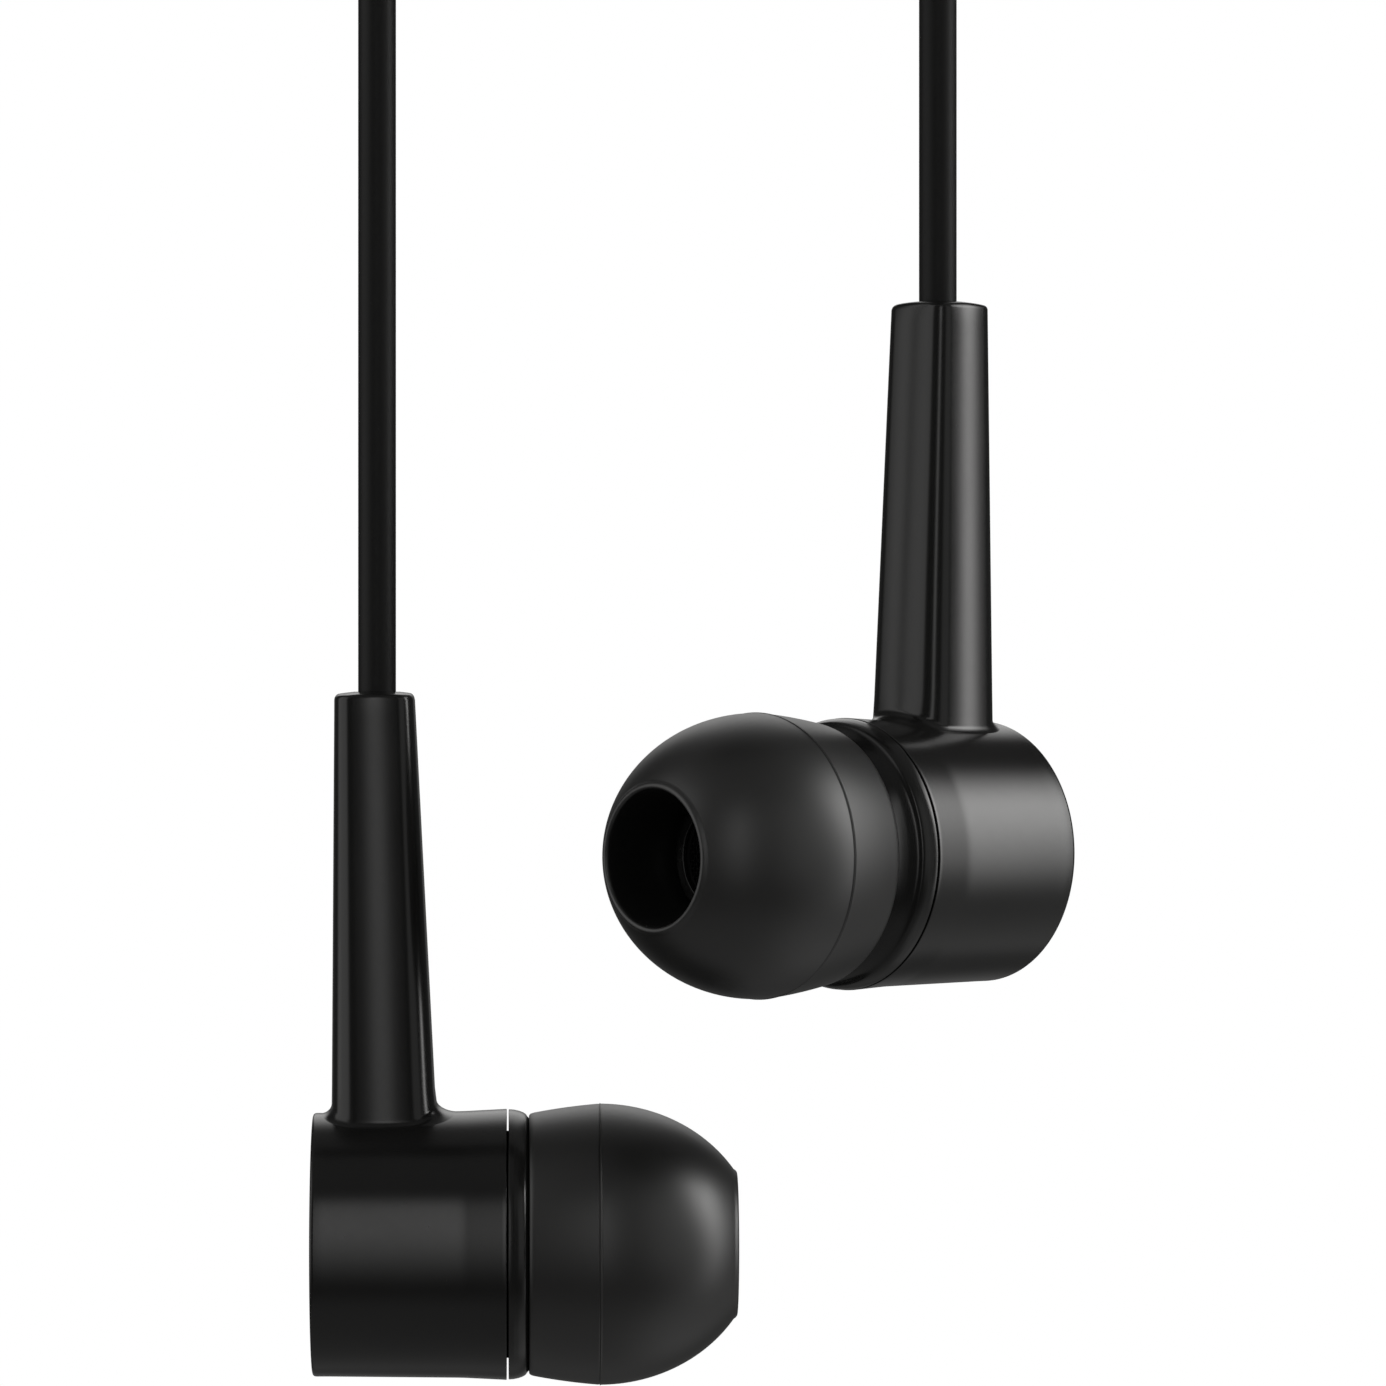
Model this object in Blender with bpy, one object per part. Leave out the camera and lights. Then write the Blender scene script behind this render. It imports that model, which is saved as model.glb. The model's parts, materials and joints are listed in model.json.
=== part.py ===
"""Wired in-ear earphones: two buds on stems, two branch cables, Y splitter,
main cable wound into a hank, and a straight 3.5 mm three-pole plug.

+Z is up and the origin is the bottom centre of the whole object's box.  The
hank is wound about an axis parallel to Y, and the buds hang straight down from
it, the left one on the -X side.  The plug stands over the hank's -X side, the
splitter over its +X side.

All lengths are millimetres in the drawing frame, where the hank's axis is at
x = 0.  Meshes and placements are turned into metres as they are made.
"""
import math
from collections import namedtuple

import bmesh
import bpy
from mathutils import Matrix, Vector

for old in list(bpy.data.objects):
    bpy.data.objects.remove(old, do_unlink=True)

METRES_PER_MM = 0.001
SHIFT = Vector((0.625, 1.404419, 28.70))    # moves the origin to the bottom centre

# ------------------------------------------------------------------ dimensions
# at: where the stem axis meets the nozzle axis
# heading: nozzle direction, degrees about +Z from +X
# tip_out: how far the ear tip is slid out along the nozzle
# cut_z: where the hanging cable can twist
# bend_radius, bend_runs: cable's bend from the hank to vertical, and its straight runs
# drift_heights: extra points below the bend where the cable still moves across in Y
Side = namedtuple("Side", "at heading tip_out cut_z bend_radius bend_runs drift_heights")
SIDES = {
    "left": Side(at=Vector((-13.11, 0.0, -22.88)), heading=1.44, tip_out=0.0, cut_z=33.0,
                 bend_radius=15.0, bend_runs=5, drift_heights=(39.0, 36.5, 35.0)),
    "right": Side(at=Vector((10.21, 1.41, -6.63)), heading=180.0 + 42.47, tip_out=1.13,
                  cut_z=30.45, bend_radius=11.0, bend_runs=8, drift_heights=()),
}

# Housing.  Names ending in _OUT are distances out along the nozzle axis from
# the stem axis.
BACK_OUT, FLARE_OUT, SEAM_OUT = -2.655, 3.2, 5.38
SEAM_GAP = 0.10
BACK_RADIUS, SEAM_RADIUS, EDGE_RADIUS = 5.42, 5.51, 0.15
WALL, CAVITY_RADIUS = 0.70, 4.85
SPIGOT_RADIUS, SPIGOT_INNER_RADIUS, SPIGOT_BACK_OUT = 4.70, 4.35, 4.95

# stem, heights above the nozzle axis
STEM_FOOT, STEM_TOP, STEM_EDGE = 2.0, 22.81, 0.12
STEM_EDGE_MID = 0.035                       # drop and inset of the edge's middle ring
STEM_REF_HEIGHT = 20.93                     # height at which the section is given
STEM_SECTION = (                            # size at that height, growth per mm below it
    (1.66, 0.0515),                         # half-depth towards the nozzle
    (1.784, 0.006),                         # half-depth away from it
    (1.72, 0.0248),                         # half-width
    (0.80, 0.026),                          # corner radius
)
STEM_CORNER_STEPS = 3
BORE_NECK_RADIUS, BORE_RADIUS = 0.92, 1.25
BORE_FOOT, BORE_STEP_HEIGHT = 3.4, 20.0

# nozzle and ear tip
NOZZLE_RADIUS, NOZZLE_BORE_RADIUS, NOZZLE_END_OUT, BARB_RADIUS = 2.55, 1.95, 12.6, 2.68
TIP_MAX_RADIUS, TIP_MAX_OUT = 5.82, 9.236   # widest ring of the tip
TIP_DOME_LEN, TIP_DOME_WALL = 6.58, 0.62    # outer dome, and how much shorter the inner is
TIP_BORE_RADIUS, TIP_END_OUT = 2.77, 14.94
TIP_WALL, TIP_REAR_OUT = 0.50, 6.30
TIP_SKIRT_SLOPE, TIP_SKIRT_CURVE = 0.0777, 0.021
SLEEVE_RADIUS, SLEEVE_REAR_OUT = 3.25, 9.9

# cables
BRANCH_RADIUS, MAIN_RADIUS, WIRE_RADIUS = 0.785, 0.95, 0.17
FLEX_RISE, FLEX_HALF = 1.0, 0.95            # bend point above the stem, cable end to bend point
CUT_HALF_GAP = 0.17
CAP_RINGS, CAP_ANGLE = 3, 84.0              # rounded cable end, degrees from its rim

# hank: main cable in the inner layer, the two branches side by side outside it
HANK_Z, INNER_RADIUS, OUTER_RADIUS = 62.5, 18.0, 20.2
MAIN_TURNS, MAIN_HALF_WIDTH = 7.5, 7.6
BRANCH_FULL_TURNS = 2
RUNS_PER_TURN = 16
PAIR_Y, PAIR_PITCH = 6.2, 3.9
PAIR_HALF = PAIR_PITCH / 4                  # the two branches interleave evenly
JOIN_ANGLE = math.radians(130.0)            # where the branches come onto the hank
ARCH_RUNS, ARCH_RISE, ARCH_LANDING = 10, 22.0, 15.0
ARCH_SQUEEZE = 0.08                         # share by which the pair closes in the splitter
DRIFT_TOP, DRIFT_HEIGHT = 46.0, 11.0        # band where the left cable moves across in Y
LEAD_IN_RUNS, LEAD_OUT_RUNS = 8, 6

# splitter and plug, heights above the hank's axis
SPLIT_X, SPLIT_RISE, SPLIT_LEN = 23.9, 9.0, 12.0
PLUG_X, PLUG_BEND_RISE, PLUG_BEND_HALF = -24.9, 13.4, 1.12
STRAIN_CLEARANCE, STRAIN_LEN = 1.2, 7.6     # relief's foot above the bend, relief's length
HANDLE_LEN, HANDLE_DROP = 16.0, 1.1         # handle's top lies below the shoulder
PLUG_LEN, PLUG_RADIUS = 14.0, 1.75
INSULATOR_RADIUS, PLUG_BORE_RADIUS = 1.70, 0.58

# steps round a turned piece, sides of a cable
REAR_SEGMENTS, FRONT_SEGMENTS, SMALL_SEGMENTS = 28, 24, 14
PLUG_SEGMENTS, HANDLE_SEGMENTS = 16, 20
STRAIGHT_SIDES, COILED_SIDES, WIRE_SIDES = 10, 5, 6
SHARP_ANGLE = math.radians(32)

# ------------------------------------------------------------------- materials
FINISH = {                                  # base colour, roughness, metallic
    "shell": ((0.022, 0.022, 0.023), 0.34, 0.0),
    "silicone": ((0.030, 0.030, 0.031), 0.52, 0.0),
    "jacket": ((0.018, 0.018, 0.019), 0.55, 0.0),
    "handle": ((0.024, 0.024, 0.025), 0.38, 0.0),
    "plating": ((0.78, 0.79, 0.80), 0.18, 1.0),
    "ring_plastic": ((0.03, 0.03, 0.03), 0.45, 0.0),
    "steel": ((0.55, 0.55, 0.57), 0.35, 1.0),
    "magnet": ((0.40, 0.40, 0.42), 0.30, 1.0),
    "copper": ((0.72, 0.38, 0.20), 0.30, 1.0),
    "film": ((0.62, 0.58, 0.45), 0.25, 0.0),
    "frame_plastic": ((0.05, 0.05, 0.05), 0.50, 0.0),
    "board": ((0.03, 0.16, 0.07), 0.40, 0.0),
    "felt": ((0.12, 0.12, 0.12), 0.95, 0.0),
    "foam": ((0.16, 0.16, 0.17), 0.95, 0.0),
    "mesh": ((0.10, 0.10, 0.10), 0.45, 1.0),
    "rubber": ((0.05, 0.05, 0.05), 0.80, 0.0),
    "wire_red": ((0.45, 0.05, 0.04), 0.45, 0.0),
    "wire_green": ((0.05, 0.28, 0.10), 0.45, 0.0),
}


def make_material(name, kind):
    """A material named after its object, with one of the listed finishes."""
    colour, roughness, metallic = FINISH[kind]
    material = bpy.data.materials.new(name)
    material.use_nodes = True
    shader = material.node_tree.nodes["Principled BSDF"]
    shader.inputs["Base Color"].default_value = (*colour, 1.0)
    shader.inputs["Roughness"].default_value = roughness
    shader.inputs["Metallic"].default_value = metallic
    return material


# -------------------------------------------------------------------- placing
def upright(at):
    return Matrix.Translation((at + SHIFT) * METRES_PER_MM)


GROUND = upright(Vector((0, 0, 0)))


def heading_dir(degrees):
    angle = math.radians(degrees)
    return Vector((math.cos(angle), math.sin(angle), 0.0))


def nozzle_frame(at, heading):
    """Local Z along the nozzle, local X straight up."""
    local_z = heading_dir(heading)
    local_x = Vector((0, 0, 1))
    local_y = local_z.cross(local_x)
    return upright(at) @ Matrix((local_x, local_y, local_z)).transposed().to_4x4()


def stem_frame(at, heading):
    """Local X along the nozzle, local Z straight up."""
    return upright(at) @ Matrix.Rotation(math.radians(heading), 4, "Z")


def pivot(name, at):
    """An empty on a joint's axis."""
    empty = bpy.data.objects.new(name, None)
    empty.empty_display_size = 0.004
    bpy.context.scene.collection.objects.link(empty)
    empty.matrix_basis = upright(at)
    return empty


def attach(piece, parent, place):
    """Parent a piece to a pivot, keeping it at `place`."""
    piece.parent = parent
    piece.matrix_basis = parent.matrix_basis.inverted() @ place


# -------------------------------------------------------------------- shaping
def shade(mesh):
    mesh.shade_smooth()
    mesh.set_sharp_from_angle(angle=SHARP_ANGLE)


def finish_mesh(name, bm, kind, place, parent=None):
    """Turn a bmesh drawn in millimetres into a named object at `place`."""
    bmesh.ops.remove_doubles(bm, verts=bm.verts, dist=1e-4)
    bmesh.ops.recalc_face_normals(bm, faces=bm.faces)
    if bm.calc_volume(signed=True) < 0:
        bmesh.ops.reverse_faces(bm, faces=bm.faces)
    bmesh.ops.scale(bm, vec=(METRES_PER_MM,) * 3, verts=bm.verts)
    mesh = bpy.data.meshes.new(name)
    bm.to_mesh(mesh)
    bm.free()
    shade(mesh)
    mesh.materials.append(make_material(name, kind))
    piece = bpy.data.objects.new(name, mesh)
    bpy.context.scene.collection.objects.link(piece)
    if parent is None:
        piece.matrix_basis = place
    else:
        attach(piece, parent, place)
    return piece


def block(inner, outer, low, high):
    """Rectangular profile: a disc when `inner` is 0, otherwise a tube."""
    return [(inner, low), (outer, low), (outer, high), (inner, high)]


def turned(name, profile, kind, place, parent=None, segments=SMALL_SEGMENTS):
    """Spin (radius, height) points about local Z; a profile off the axis is a closed loop."""
    bm = bmesh.new()
    verts = [bm.verts.new((radius, 0.0, height)) for radius, height in profile]
    edges = [bm.edges.new(pair) for pair in zip(verts, verts[1:])]
    if profile[0][0] > 0:
        edges.append(bm.edges.new((verts[-1], verts[0])))
    bmesh.ops.spin(bm, geom=verts + edges, cent=(0, 0, 0), axis=(0, 0, 1), dvec=(0, 0, 0),
                   angle=2 * math.pi, steps=segments, use_merge=True, use_duplicate=False)
    return finish_mesh(name, bm, kind, place, parent)


def skin(bm, rings):
    """Join rings of vertices into a body closed at both ends."""
    count = len(rings[0])
    for ring, following in zip(rings, rings[1:]):
        for k in range(count):
            after = (k + 1) % count
            bm.faces.new((ring[k], ring[after], following[after], following[k]))
    bm.faces.new(rings[0])
    bm.faces.new(rings[-1])


def swept(name, stations, kind, place, parent, sides):
    """A round body through (point, radius) stations; its path must not start along Y."""
    bm = bmesh.new()
    points = [Vector(point) for point, _ in stations]
    last = len(points) - 1
    normal = Vector((0, 1, 0))
    rings = []
    for i, (point, (_, radius)) in enumerate(zip(points, stations)):
        ahead = (points[min(i + 1, last)] - points[max(i - 1, 0)]).normalized()
        normal = (normal - ahead * normal.dot(ahead)).normalized()
        across = ahead.cross(normal)
        ring = []
        for k in range(sides):
            angle = 2 * math.pi * k / sides
            spoke = math.cos(angle) * normal + math.sin(angle) * across
            ring.append(bm.verts.new(point + radius * spoke))
        rings.append(ring)
    skin(bm, rings)
    return finish_mesh(name, bm, kind, place, parent)


def even(points, radius):
    """Stations of one radius."""
    return [(point, radius) for point in points]


def rounded_end(centre, away, radius):
    """Stations of a domed cable end, from the body to the pole."""
    stations = []
    for k in range(1, CAP_RINGS + 1):
        angle = math.radians(CAP_ANGLE) * k / CAP_RINGS
        stations.append((centre + away * radius * math.sin(angle), radius * math.cos(angle)))
    return stations


def straight_cable(name, start, end, radius, place, parent):
    """A straight length of cable, flat at its start and domed at its end."""
    away = (end - start).normalized()
    stations = even([start, end], radius) + rounded_end(end, away, radius)
    swept(name, stations, "jacket", place, parent, STRAIGHT_SIDES)


def apply_booleans(target, cutters):
    """Union or subtract cutters with exact booleans, then keep the result."""
    for cutter, operation in cutters:
        modifier = target.modifiers.new(operation.lower(), "BOOLEAN")
        modifier.operation = operation
        modifier.object = cutter
        modifier.solver = "EXACT"
    bpy.context.view_layer.update()
    graph = bpy.context.evaluated_depsgraph_get()
    result = bpy.data.meshes.new_from_object(target.evaluated_get(graph))
    target.modifiers.clear()
    material = target.data.materials[0]
    target.data = result
    result.materials.clear()
    result.materials.append(material)
    result.name = target.name
    shade(result)
    for cutter, _ in cutters:
        bpy.data.objects.remove(cutter, do_unlink=True)


# --------------------------------------------------------------- cable routes
def smoothstep(share):
    share = min(max(share, 0.0), 1.0)
    return share * share * (3 - 2 * share)


def blend(start, end, share):
    return start + (end - start) * share


def on_hank(radius, angle, y):
    """A point on a hank layer, angle measured from +X towards +Z."""
    return Vector((radius * math.cos(angle), y, HANK_Z + radius * math.sin(angle)))


def main_route():
    """From the bend under the plug, down into the hank, round it, to the splitter."""
    points = []
    lead_in_rise = PLUG_BEND_RISE - PLUG_BEND_HALF
    for i in range(LEAD_IN_RUNS):                          # lead-in, top to bottom
        share = 1 - i / LEAD_IN_RUNS
        # X settles at the top of the lead-in, Y flattens off at both ends
        points.append(Vector((blend(-INNER_RADIUS, PLUG_X, smoothstep(share * 1.25)),
                              -MAIN_HALF_WIDTH * (1 - smoothstep(share * 1.08 - 0.04)),
                              HANK_Z + lead_in_rise * share)))
    runs = int(MAIN_TURNS * RUNS_PER_TURN)
    for i in range(runs + 1):                              # inner layer
        angle = math.pi + 2 * math.pi * i / RUNS_PER_TURN
        y = -MAIN_HALF_WIDTH + 2 * MAIN_HALF_WIDTH * i / runs
        points.append(on_hank(INNER_RADIUS, angle, y))
    for i in range(1, LEAD_OUT_RUNS + 1):                  # lead-out to below the splitter
        share = i / LEAD_OUT_RUNS
        eased = smoothstep(share)
        points.append(Vector((blend(INNER_RADIUS, SPLIT_X, eased),
                              blend(MAIN_HALF_WIDTH, PAIR_Y, eased),
                              HANK_Z + (SPLIT_RISE - 0.8) * share)))
    end_in_splitter = 4.6
    points.append(Vector((SPLIT_X, PAIR_Y, HANK_Z + SPLIT_RISE + end_in_splitter)))
    return points


def branch_arch(offset):
    """A branch's Bezier arch from inside the splitter over to the hank's outer layer."""
    depth_in_splitter = 2.6
    start = Vector((SPLIT_X, 0, HANK_Z + SPLIT_RISE + SPLIT_LEN - depth_in_splitter))
    end = on_hank(OUTER_RADIUS, JOIN_ANGLE, 0)
    start_handle = start + Vector((0, 0, ARCH_RISE))
    tangent = Vector((-math.sin(JOIN_ANGLE), 0, math.cos(JOIN_ANGLE)))
    end_handle = end - ARCH_LANDING * tangent
    points = []
    for i in range(ARCH_RUNS):
        t = i / ARCH_RUNS
        point = ((1 - t) ** 3 * start + 3 * (1 - t) ** 2 * t * start_handle
                 + 3 * (1 - t) * t * t * end_handle + t ** 3 * end)
        squeeze = 1.0 - ARCH_SQUEEZE * (1 - smoothstep(t * 4))
        points.append(Vector((point.x, PAIR_Y + offset * squeeze, point.z)))
    return points


def branch_route(name):
    """From the splitter over the top of the hank, round it, then down towards the bud."""
    side = SIDES[name]
    offset = PAIR_HALF if name == "left" else -PAIR_HALF
    points = branch_arch(offset)

    # The bend touches the outer layer on one side and the bud's vertical on the other.
    bend = side.bend_radius
    turn = math.acos((bend - side.at.x) / (OUTER_RADIUS + bend))
    leave = math.pi + turn + 2 * math.pi * BRANCH_FULL_TURNS
    runs = int(round((leave - JOIN_ANGLE) / (2 * math.pi) * RUNS_PER_TURN))
    for i in range(runs + 1):                              # outer layer
        wound = (leave - JOIN_ANGLE) * i / runs
        y = PAIR_Y - PAIR_PITCH * wound / (2 * math.pi) + offset
        points.append(on_hank(OUTER_RADIUS, JOIN_ANGLE + wound, y))

    from_y = y
    centre_x = side.at.x - bend
    centre_z = points[-1].z - bend * math.sin(turn)
    for i in range(1, side.bend_runs + 1):                 # bend to vertical
        angle = turn * (1 - i / side.bend_runs)
        z = centre_z + bend * math.sin(angle)
        if side.drift_heights:
            share = smoothstep((DRIFT_TOP - z) / DRIFT_HEIGHT)
        else:
            share = smoothstep(i / side.bend_runs)
        x = centre_x + bend * math.cos(angle)
        points.append(Vector((x, blend(from_y, side.at.y, share), z)))
    for z in side.drift_heights:
        share = smoothstep((DRIFT_TOP - z) / DRIFT_HEIGHT)
        points.append(Vector((side.at.x, blend(from_y, side.at.y, share), z)))
    points.append(Vector((side.at.x, side.at.y, side.cut_z + CUT_HALF_GAP)))
    return points


# ----------------------------------------------------------------- bud shells
# Profiles are (radius, distance out along the nozzle).
REAR_PROFILE = [
    (0.0, BACK_OUT), (BACK_RADIUS - EDGE_RADIUS, BACK_OUT),
    (BACK_RADIUS - 0.3 * EDGE_RADIUS, BACK_OUT + 0.3 * EDGE_RADIUS),
    (BACK_RADIUS, BACK_OUT + EDGE_RADIUS), (BACK_RADIUS, FLARE_OUT),
    (SEAM_RADIUS, SEAM_OUT), (0.0, SEAM_OUT),
]

FRONT_PROFILE = [
    # spigot
    (SPIGOT_INNER_RADIUS, SPIGOT_BACK_OUT), (SPIGOT_RADIUS, SPIGOT_BACK_OUT),
    (SPIGOT_RADIUS, SEAM_OUT + SEAM_GAP), (5.52, SEAM_OUT + SEAM_GAP),
    # outside, narrowing to the nozzle
    (5.51, 5.70), (5.46, 5.93), (5.37, 6.14), (5.22, 6.26), (5.00, 6.62), (4.66, 7.0),
    (4.16, 7.4), (3.42, 7.8), (2.72, 8.1), (NOZZLE_RADIUS, 8.45), (NOZZLE_RADIUS, 10.9),
    (BARB_RADIUS, 11.05), (BARB_RADIUS, 11.7), (2.45, NOZZLE_END_OUT),
    # back through the bore
    (NOZZLE_BORE_RADIUS, NOZZLE_END_OUT), (NOZZLE_BORE_RADIUS, 8.2),
    (2.9, 7.4), (3.9, 6.75), (SPIGOT_INNER_RADIUS, 6.1),
]

BORE_PROFILE = [                            # (radius, height up the stem)
    (0, BORE_FOOT), (BORE_RADIUS, BORE_FOOT), (BORE_RADIUS, BORE_STEP_HEIGHT),
    (BORE_NECK_RADIUS, BORE_STEP_HEIGHT + 0.3), (BORE_NECK_RADIUS, STEM_TOP + 1.0),
    (0, STEM_TOP + 1.0),
]


def tip_dome(out, radius, length):
    """Radius of an elliptical dome that starts at the tip's widest ring."""
    return radius * math.sqrt(1 - ((out - TIP_MAX_OUT) / length) ** 2)


def tip_skirt(out):
    """The ear tip's outer radius from its widest ring back to its rim."""
    back = TIP_MAX_OUT - out
    return TIP_MAX_RADIUS - TIP_SKIRT_SLOPE * back - TIP_SKIRT_CURVE * back * back


def ear_tip_profile():
    profile = [(TIP_BORE_RADIUS, SLEEVE_REAR_OUT), (TIP_BORE_RADIUS, TIP_END_OUT - 0.14),
               (TIP_BORE_RADIUS + 0.06, TIP_END_OUT), (TIP_BORE_RADIUS + 0.20, TIP_END_OUT)]
    for out in (14.72, 14.2, 13.5, 12.6, 11.4, 10.3):
        profile.append((tip_dome(out, TIP_MAX_RADIUS, TIP_DOME_LEN), out))
    for out in (TIP_MAX_OUT, 7.9, 6.55):
        profile.append((tip_skirt(out), out))
    profile += [(5.36, TIP_REAR_OUT + 0.03), (5.28, TIP_REAR_OUT), (5.12, 6.55),
                (4.98, 6.95), (5.14, 7.9)]              # rim and inside of the skirt
    for out in (TIP_MAX_OUT, 10.8, 12.2, 13.3):
        inner = tip_dome(out, TIP_MAX_RADIUS - TIP_WALL, TIP_DOME_LEN - TIP_DOME_WALL)
        profile.append((inner, out))
    profile += [(SLEEVE_RADIUS + 0.1, 13.9), (SLEEVE_RADIUS, 13.6),
                (SLEEVE_RADIUS, SLEEVE_REAR_OUT)]
    return profile


def stem_section(height, inset):
    """Rounded rectangle of the drafted stem, local +X towards the nozzle."""
    below = STEM_REF_HEIGHT - height
    front, back, half_width, corner = (size + growth * below - inset
                                       for size, growth in STEM_SECTION)
    ahead, behind, aside = front - corner, corner - back, half_width - corner
    points = []
    for centre_x, centre_y, start in ((ahead, aside, 0), (behind, aside, 90),
                                      (behind, -aside, 180), (ahead, -aside, 270)):
        for k in range(STEM_CORNER_STEPS + 1):
            angle = math.radians(start + 90.0 * k / STEM_CORNER_STEPS)
            points.append(Vector((centre_x + corner * math.cos(angle),
                                  centre_y + corner * math.sin(angle), height)))
    return points


def solid_stem(name, place):
    bm = bmesh.new()
    rings = []
    for height, inset in ((STEM_FOOT, 0.0), (STEM_TOP - STEM_EDGE, 0.0),
                          (STEM_TOP - STEM_EDGE_MID, STEM_EDGE_MID), (STEM_TOP, STEM_EDGE)):
        rings.append([bm.verts.new(point) for point in stem_section(height, inset)])
    skin(bm, rings)
    return finish_mesh(name, bm, "shell", place)


def build_rear_housing(name, along, up, bud):
    """Rear housing and stem in one moulding, hollow from the seam to the stem top."""
    rear = turned(name + "_rear_housing", REAR_PROFILE, "shell", along, None, REAR_SEGMENTS)
    stem = solid_stem(name + "_stem_guide", up)
    cavity = turned(name + "_cavity_guide",
                    block(0, CAVITY_RADIUS, BACK_OUT + WALL, SEAM_OUT + 0.6),
                    "shell", along, None, REAR_SEGMENTS)
    bore = turned(name + "_bore_guide", BORE_PROFILE, "shell", up)
    apply_booleans(rear, [(stem, "UNION"), (cavity, "DIFFERENCE"), (bore, "DIFFERENCE")])
    attach(rear, bud, along)


# -------------------------------------------------------------- bud internals
DIAPHRAGM_BACK = [(0, 4.30), (1.2, 4.22), (2.3, 3.99), (2.55, 3.99), (3.2, 4.28), (4.55, 4.26)]
DIAPHRAGM_THICKNESS = 0.08

BUD_PARTS = [                               # name, finish, profile along the nozzle
    ("nozzle_mesh", "mesh", block(0, 1.86, 12.30, 12.42)),
    ("nozzle_damper", "foam", block(0, 1.84, 9.6, 10.8)),
    ("driver_basket", "frame_plastic",
     [(3.0, 2.30), (4.6, 2.30), (4.6, 4.20), (4.2, 4.20), (4.2, 2.65), (3.0, 2.65)]),
    ("driver_yoke", "steel",
     [(0, 2.10), (2.88, 2.10), (2.88, 3.75), (2.64, 3.75), (2.64, 2.38), (0, 2.38)]),
    ("driver_magnet", "magnet", block(0, 2.12, 2.46, 3.14)),
    ("driver_top_plate", "steel", block(0, 2.18, 3.20, 3.64)),
    ("voice_coil", "copper", block(2.32, 2.48, 2.80, 3.90)),
    ("diaphragm", "film",
     DIAPHRAGM_BACK + [(radius, out + DIAPHRAGM_THICKNESS)
                       for radius, out in reversed(DIAPHRAGM_BACK)]),
    ("driver_grille", "steel", block(0.9, 4.6, 4.52, 4.68)),
    ("driver_gasket", "foam", block(4.1, 4.62, 4.74, 4.89)),
    ("rear_damping_felt", "felt", block(0, 4.55, -1.88, -1.50)),
]

BOARD_SIZE, BOARD_CENTRE = (3.4, 2.6, 0.22), (0.4, 0, 1.92)
BOARD_CORNER, BOARD_CORNER_SEGMENTS = 0.4, 2

TAIL_FOOT = 6.6
WIRE_LANE = 0.36                            # each core's distance from the stem axis
WIRE_PATH = [                               # towards the nozzle, sideways in lanes, height
    (0, 1.0, 6.45), (0, 1.0, 5.0), (0.25, 1.4, 4.0),
    (0.8, 2.0, 3.1), (1.45, 2.2, 2.3), (1.62, 2.2, 1.2),
]


def build_terminal_board(name, along, bud):
    """Terminal board behind the driver, its four corners rounded."""
    bm = bmesh.new()
    bmesh.ops.create_cube(bm, size=1.0)
    bmesh.ops.scale(bm, vec=BOARD_SIZE, verts=bm.verts)
    corners = [edge for edge in bm.edges
               if abs(edge.verts[0].co.z - edge.verts[1].co.z) > BOARD_SIZE[2] / 2]
    bmesh.ops.bevel(bm, geom=corners, offset=BOARD_CORNER, segments=BOARD_CORNER_SEGMENTS,
                    profile=0.5, affect="EDGES")
    bmesh.ops.translate(bm, vec=BOARD_CENTRE, verts=bm.verts)
    finish_mesh(name + "_terminal_board", bm, "board", along, bud)


def build_stem_cable(name, up, bud):
    """Cable end inside the stem, its stopper and its two cores."""
    tail_top = STEM_TOP + FLEX_RISE - FLEX_HALF
    straight_cable(name + "_cable_tail", Vector((0, 0, TAIL_FOOT)), Vector((0, 0, tail_top)),
                   BRANCH_RADIUS, up, bud)
    turned(name + "_cable_stopper", [(0.86, 17.6), (1.16, 17.9), (1.16, 19.6), (0.86, 19.6)],
           "rubber", up, bud)
    for wire, lane, kind in (("_wire_hot", WIRE_LANE, "wire_red"),
                             ("_wire_ground", -WIRE_LANE, "wire_green")):
        path = [(x, lane * lanes, z) for x, lanes, z in WIRE_PATH]
        swept(name + wire, even(path, WIRE_RADIUS), kind, up, bud, WIRE_SIDES)


def build_bud(name):
    side = SIDES[name]
    at = side.at
    axis = heading_dir(side.heading)
    flex_at = at + Vector((0, 0, STEM_TOP + FLEX_RISE))
    bud = pivot(name + "_bud_flex_axis", flex_at)
    slide = pivot(name + "_tip_slide_axis", at + axis * TIP_MAX_OUT)
    twist = pivot(name + "_cable_twist_axis", Vector((at.x, at.y, side.cut_z)))
    along = nozzle_frame(at, side.heading)
    up = stem_frame(at, side.heading)

    build_rear_housing(name, along, up, bud)
    turned(name + "_front_housing", FRONT_PROFILE, "shell", along, bud, FRONT_SEGMENTS)
    turned(name + "_ear_tip", ear_tip_profile(), "silicone",
           nozzle_frame(at + axis * side.tip_out, side.heading), slide, FRONT_SEGMENTS)
    for part, kind, profile in BUD_PARTS:
        turned(name + "_" + part, profile, kind, along, bud)
    build_terminal_board(name, along, bud)
    build_stem_cable(name, up, bud)

    # hanging cable, from the twist point down to the bend point
    straight_cable(name + "_cable_drop", Vector((at.x, at.y, side.cut_z - CUT_HALF_GAP)),
                   flex_at + Vector((0, 0, FLEX_HALF)), BRANCH_RADIUS, GROUND, twist)


# --------------------------------------------------------- hank, splitter, plug
# Splitter and plug profiles are (radius, height): above the splitter's foot,
# or from the plug's shoulder.
SPLITTER_PARTS = [                          # name, finish, profile
    ("splitter_barrel", "handle",
     [(1.12, 0.0), (1.9, 0.0), (2.45, 0.9), (2.75, 4.5), (2.75, 11.4), (2.45, SPLIT_LEN),
      (1.95, SPLIT_LEN), (1.95, 5.4), (1.12, 4.9)]),
    ("splitter_collar", "frame_plastic", block(0.4, 1.85, 5.6, 8.6)),
]

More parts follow.
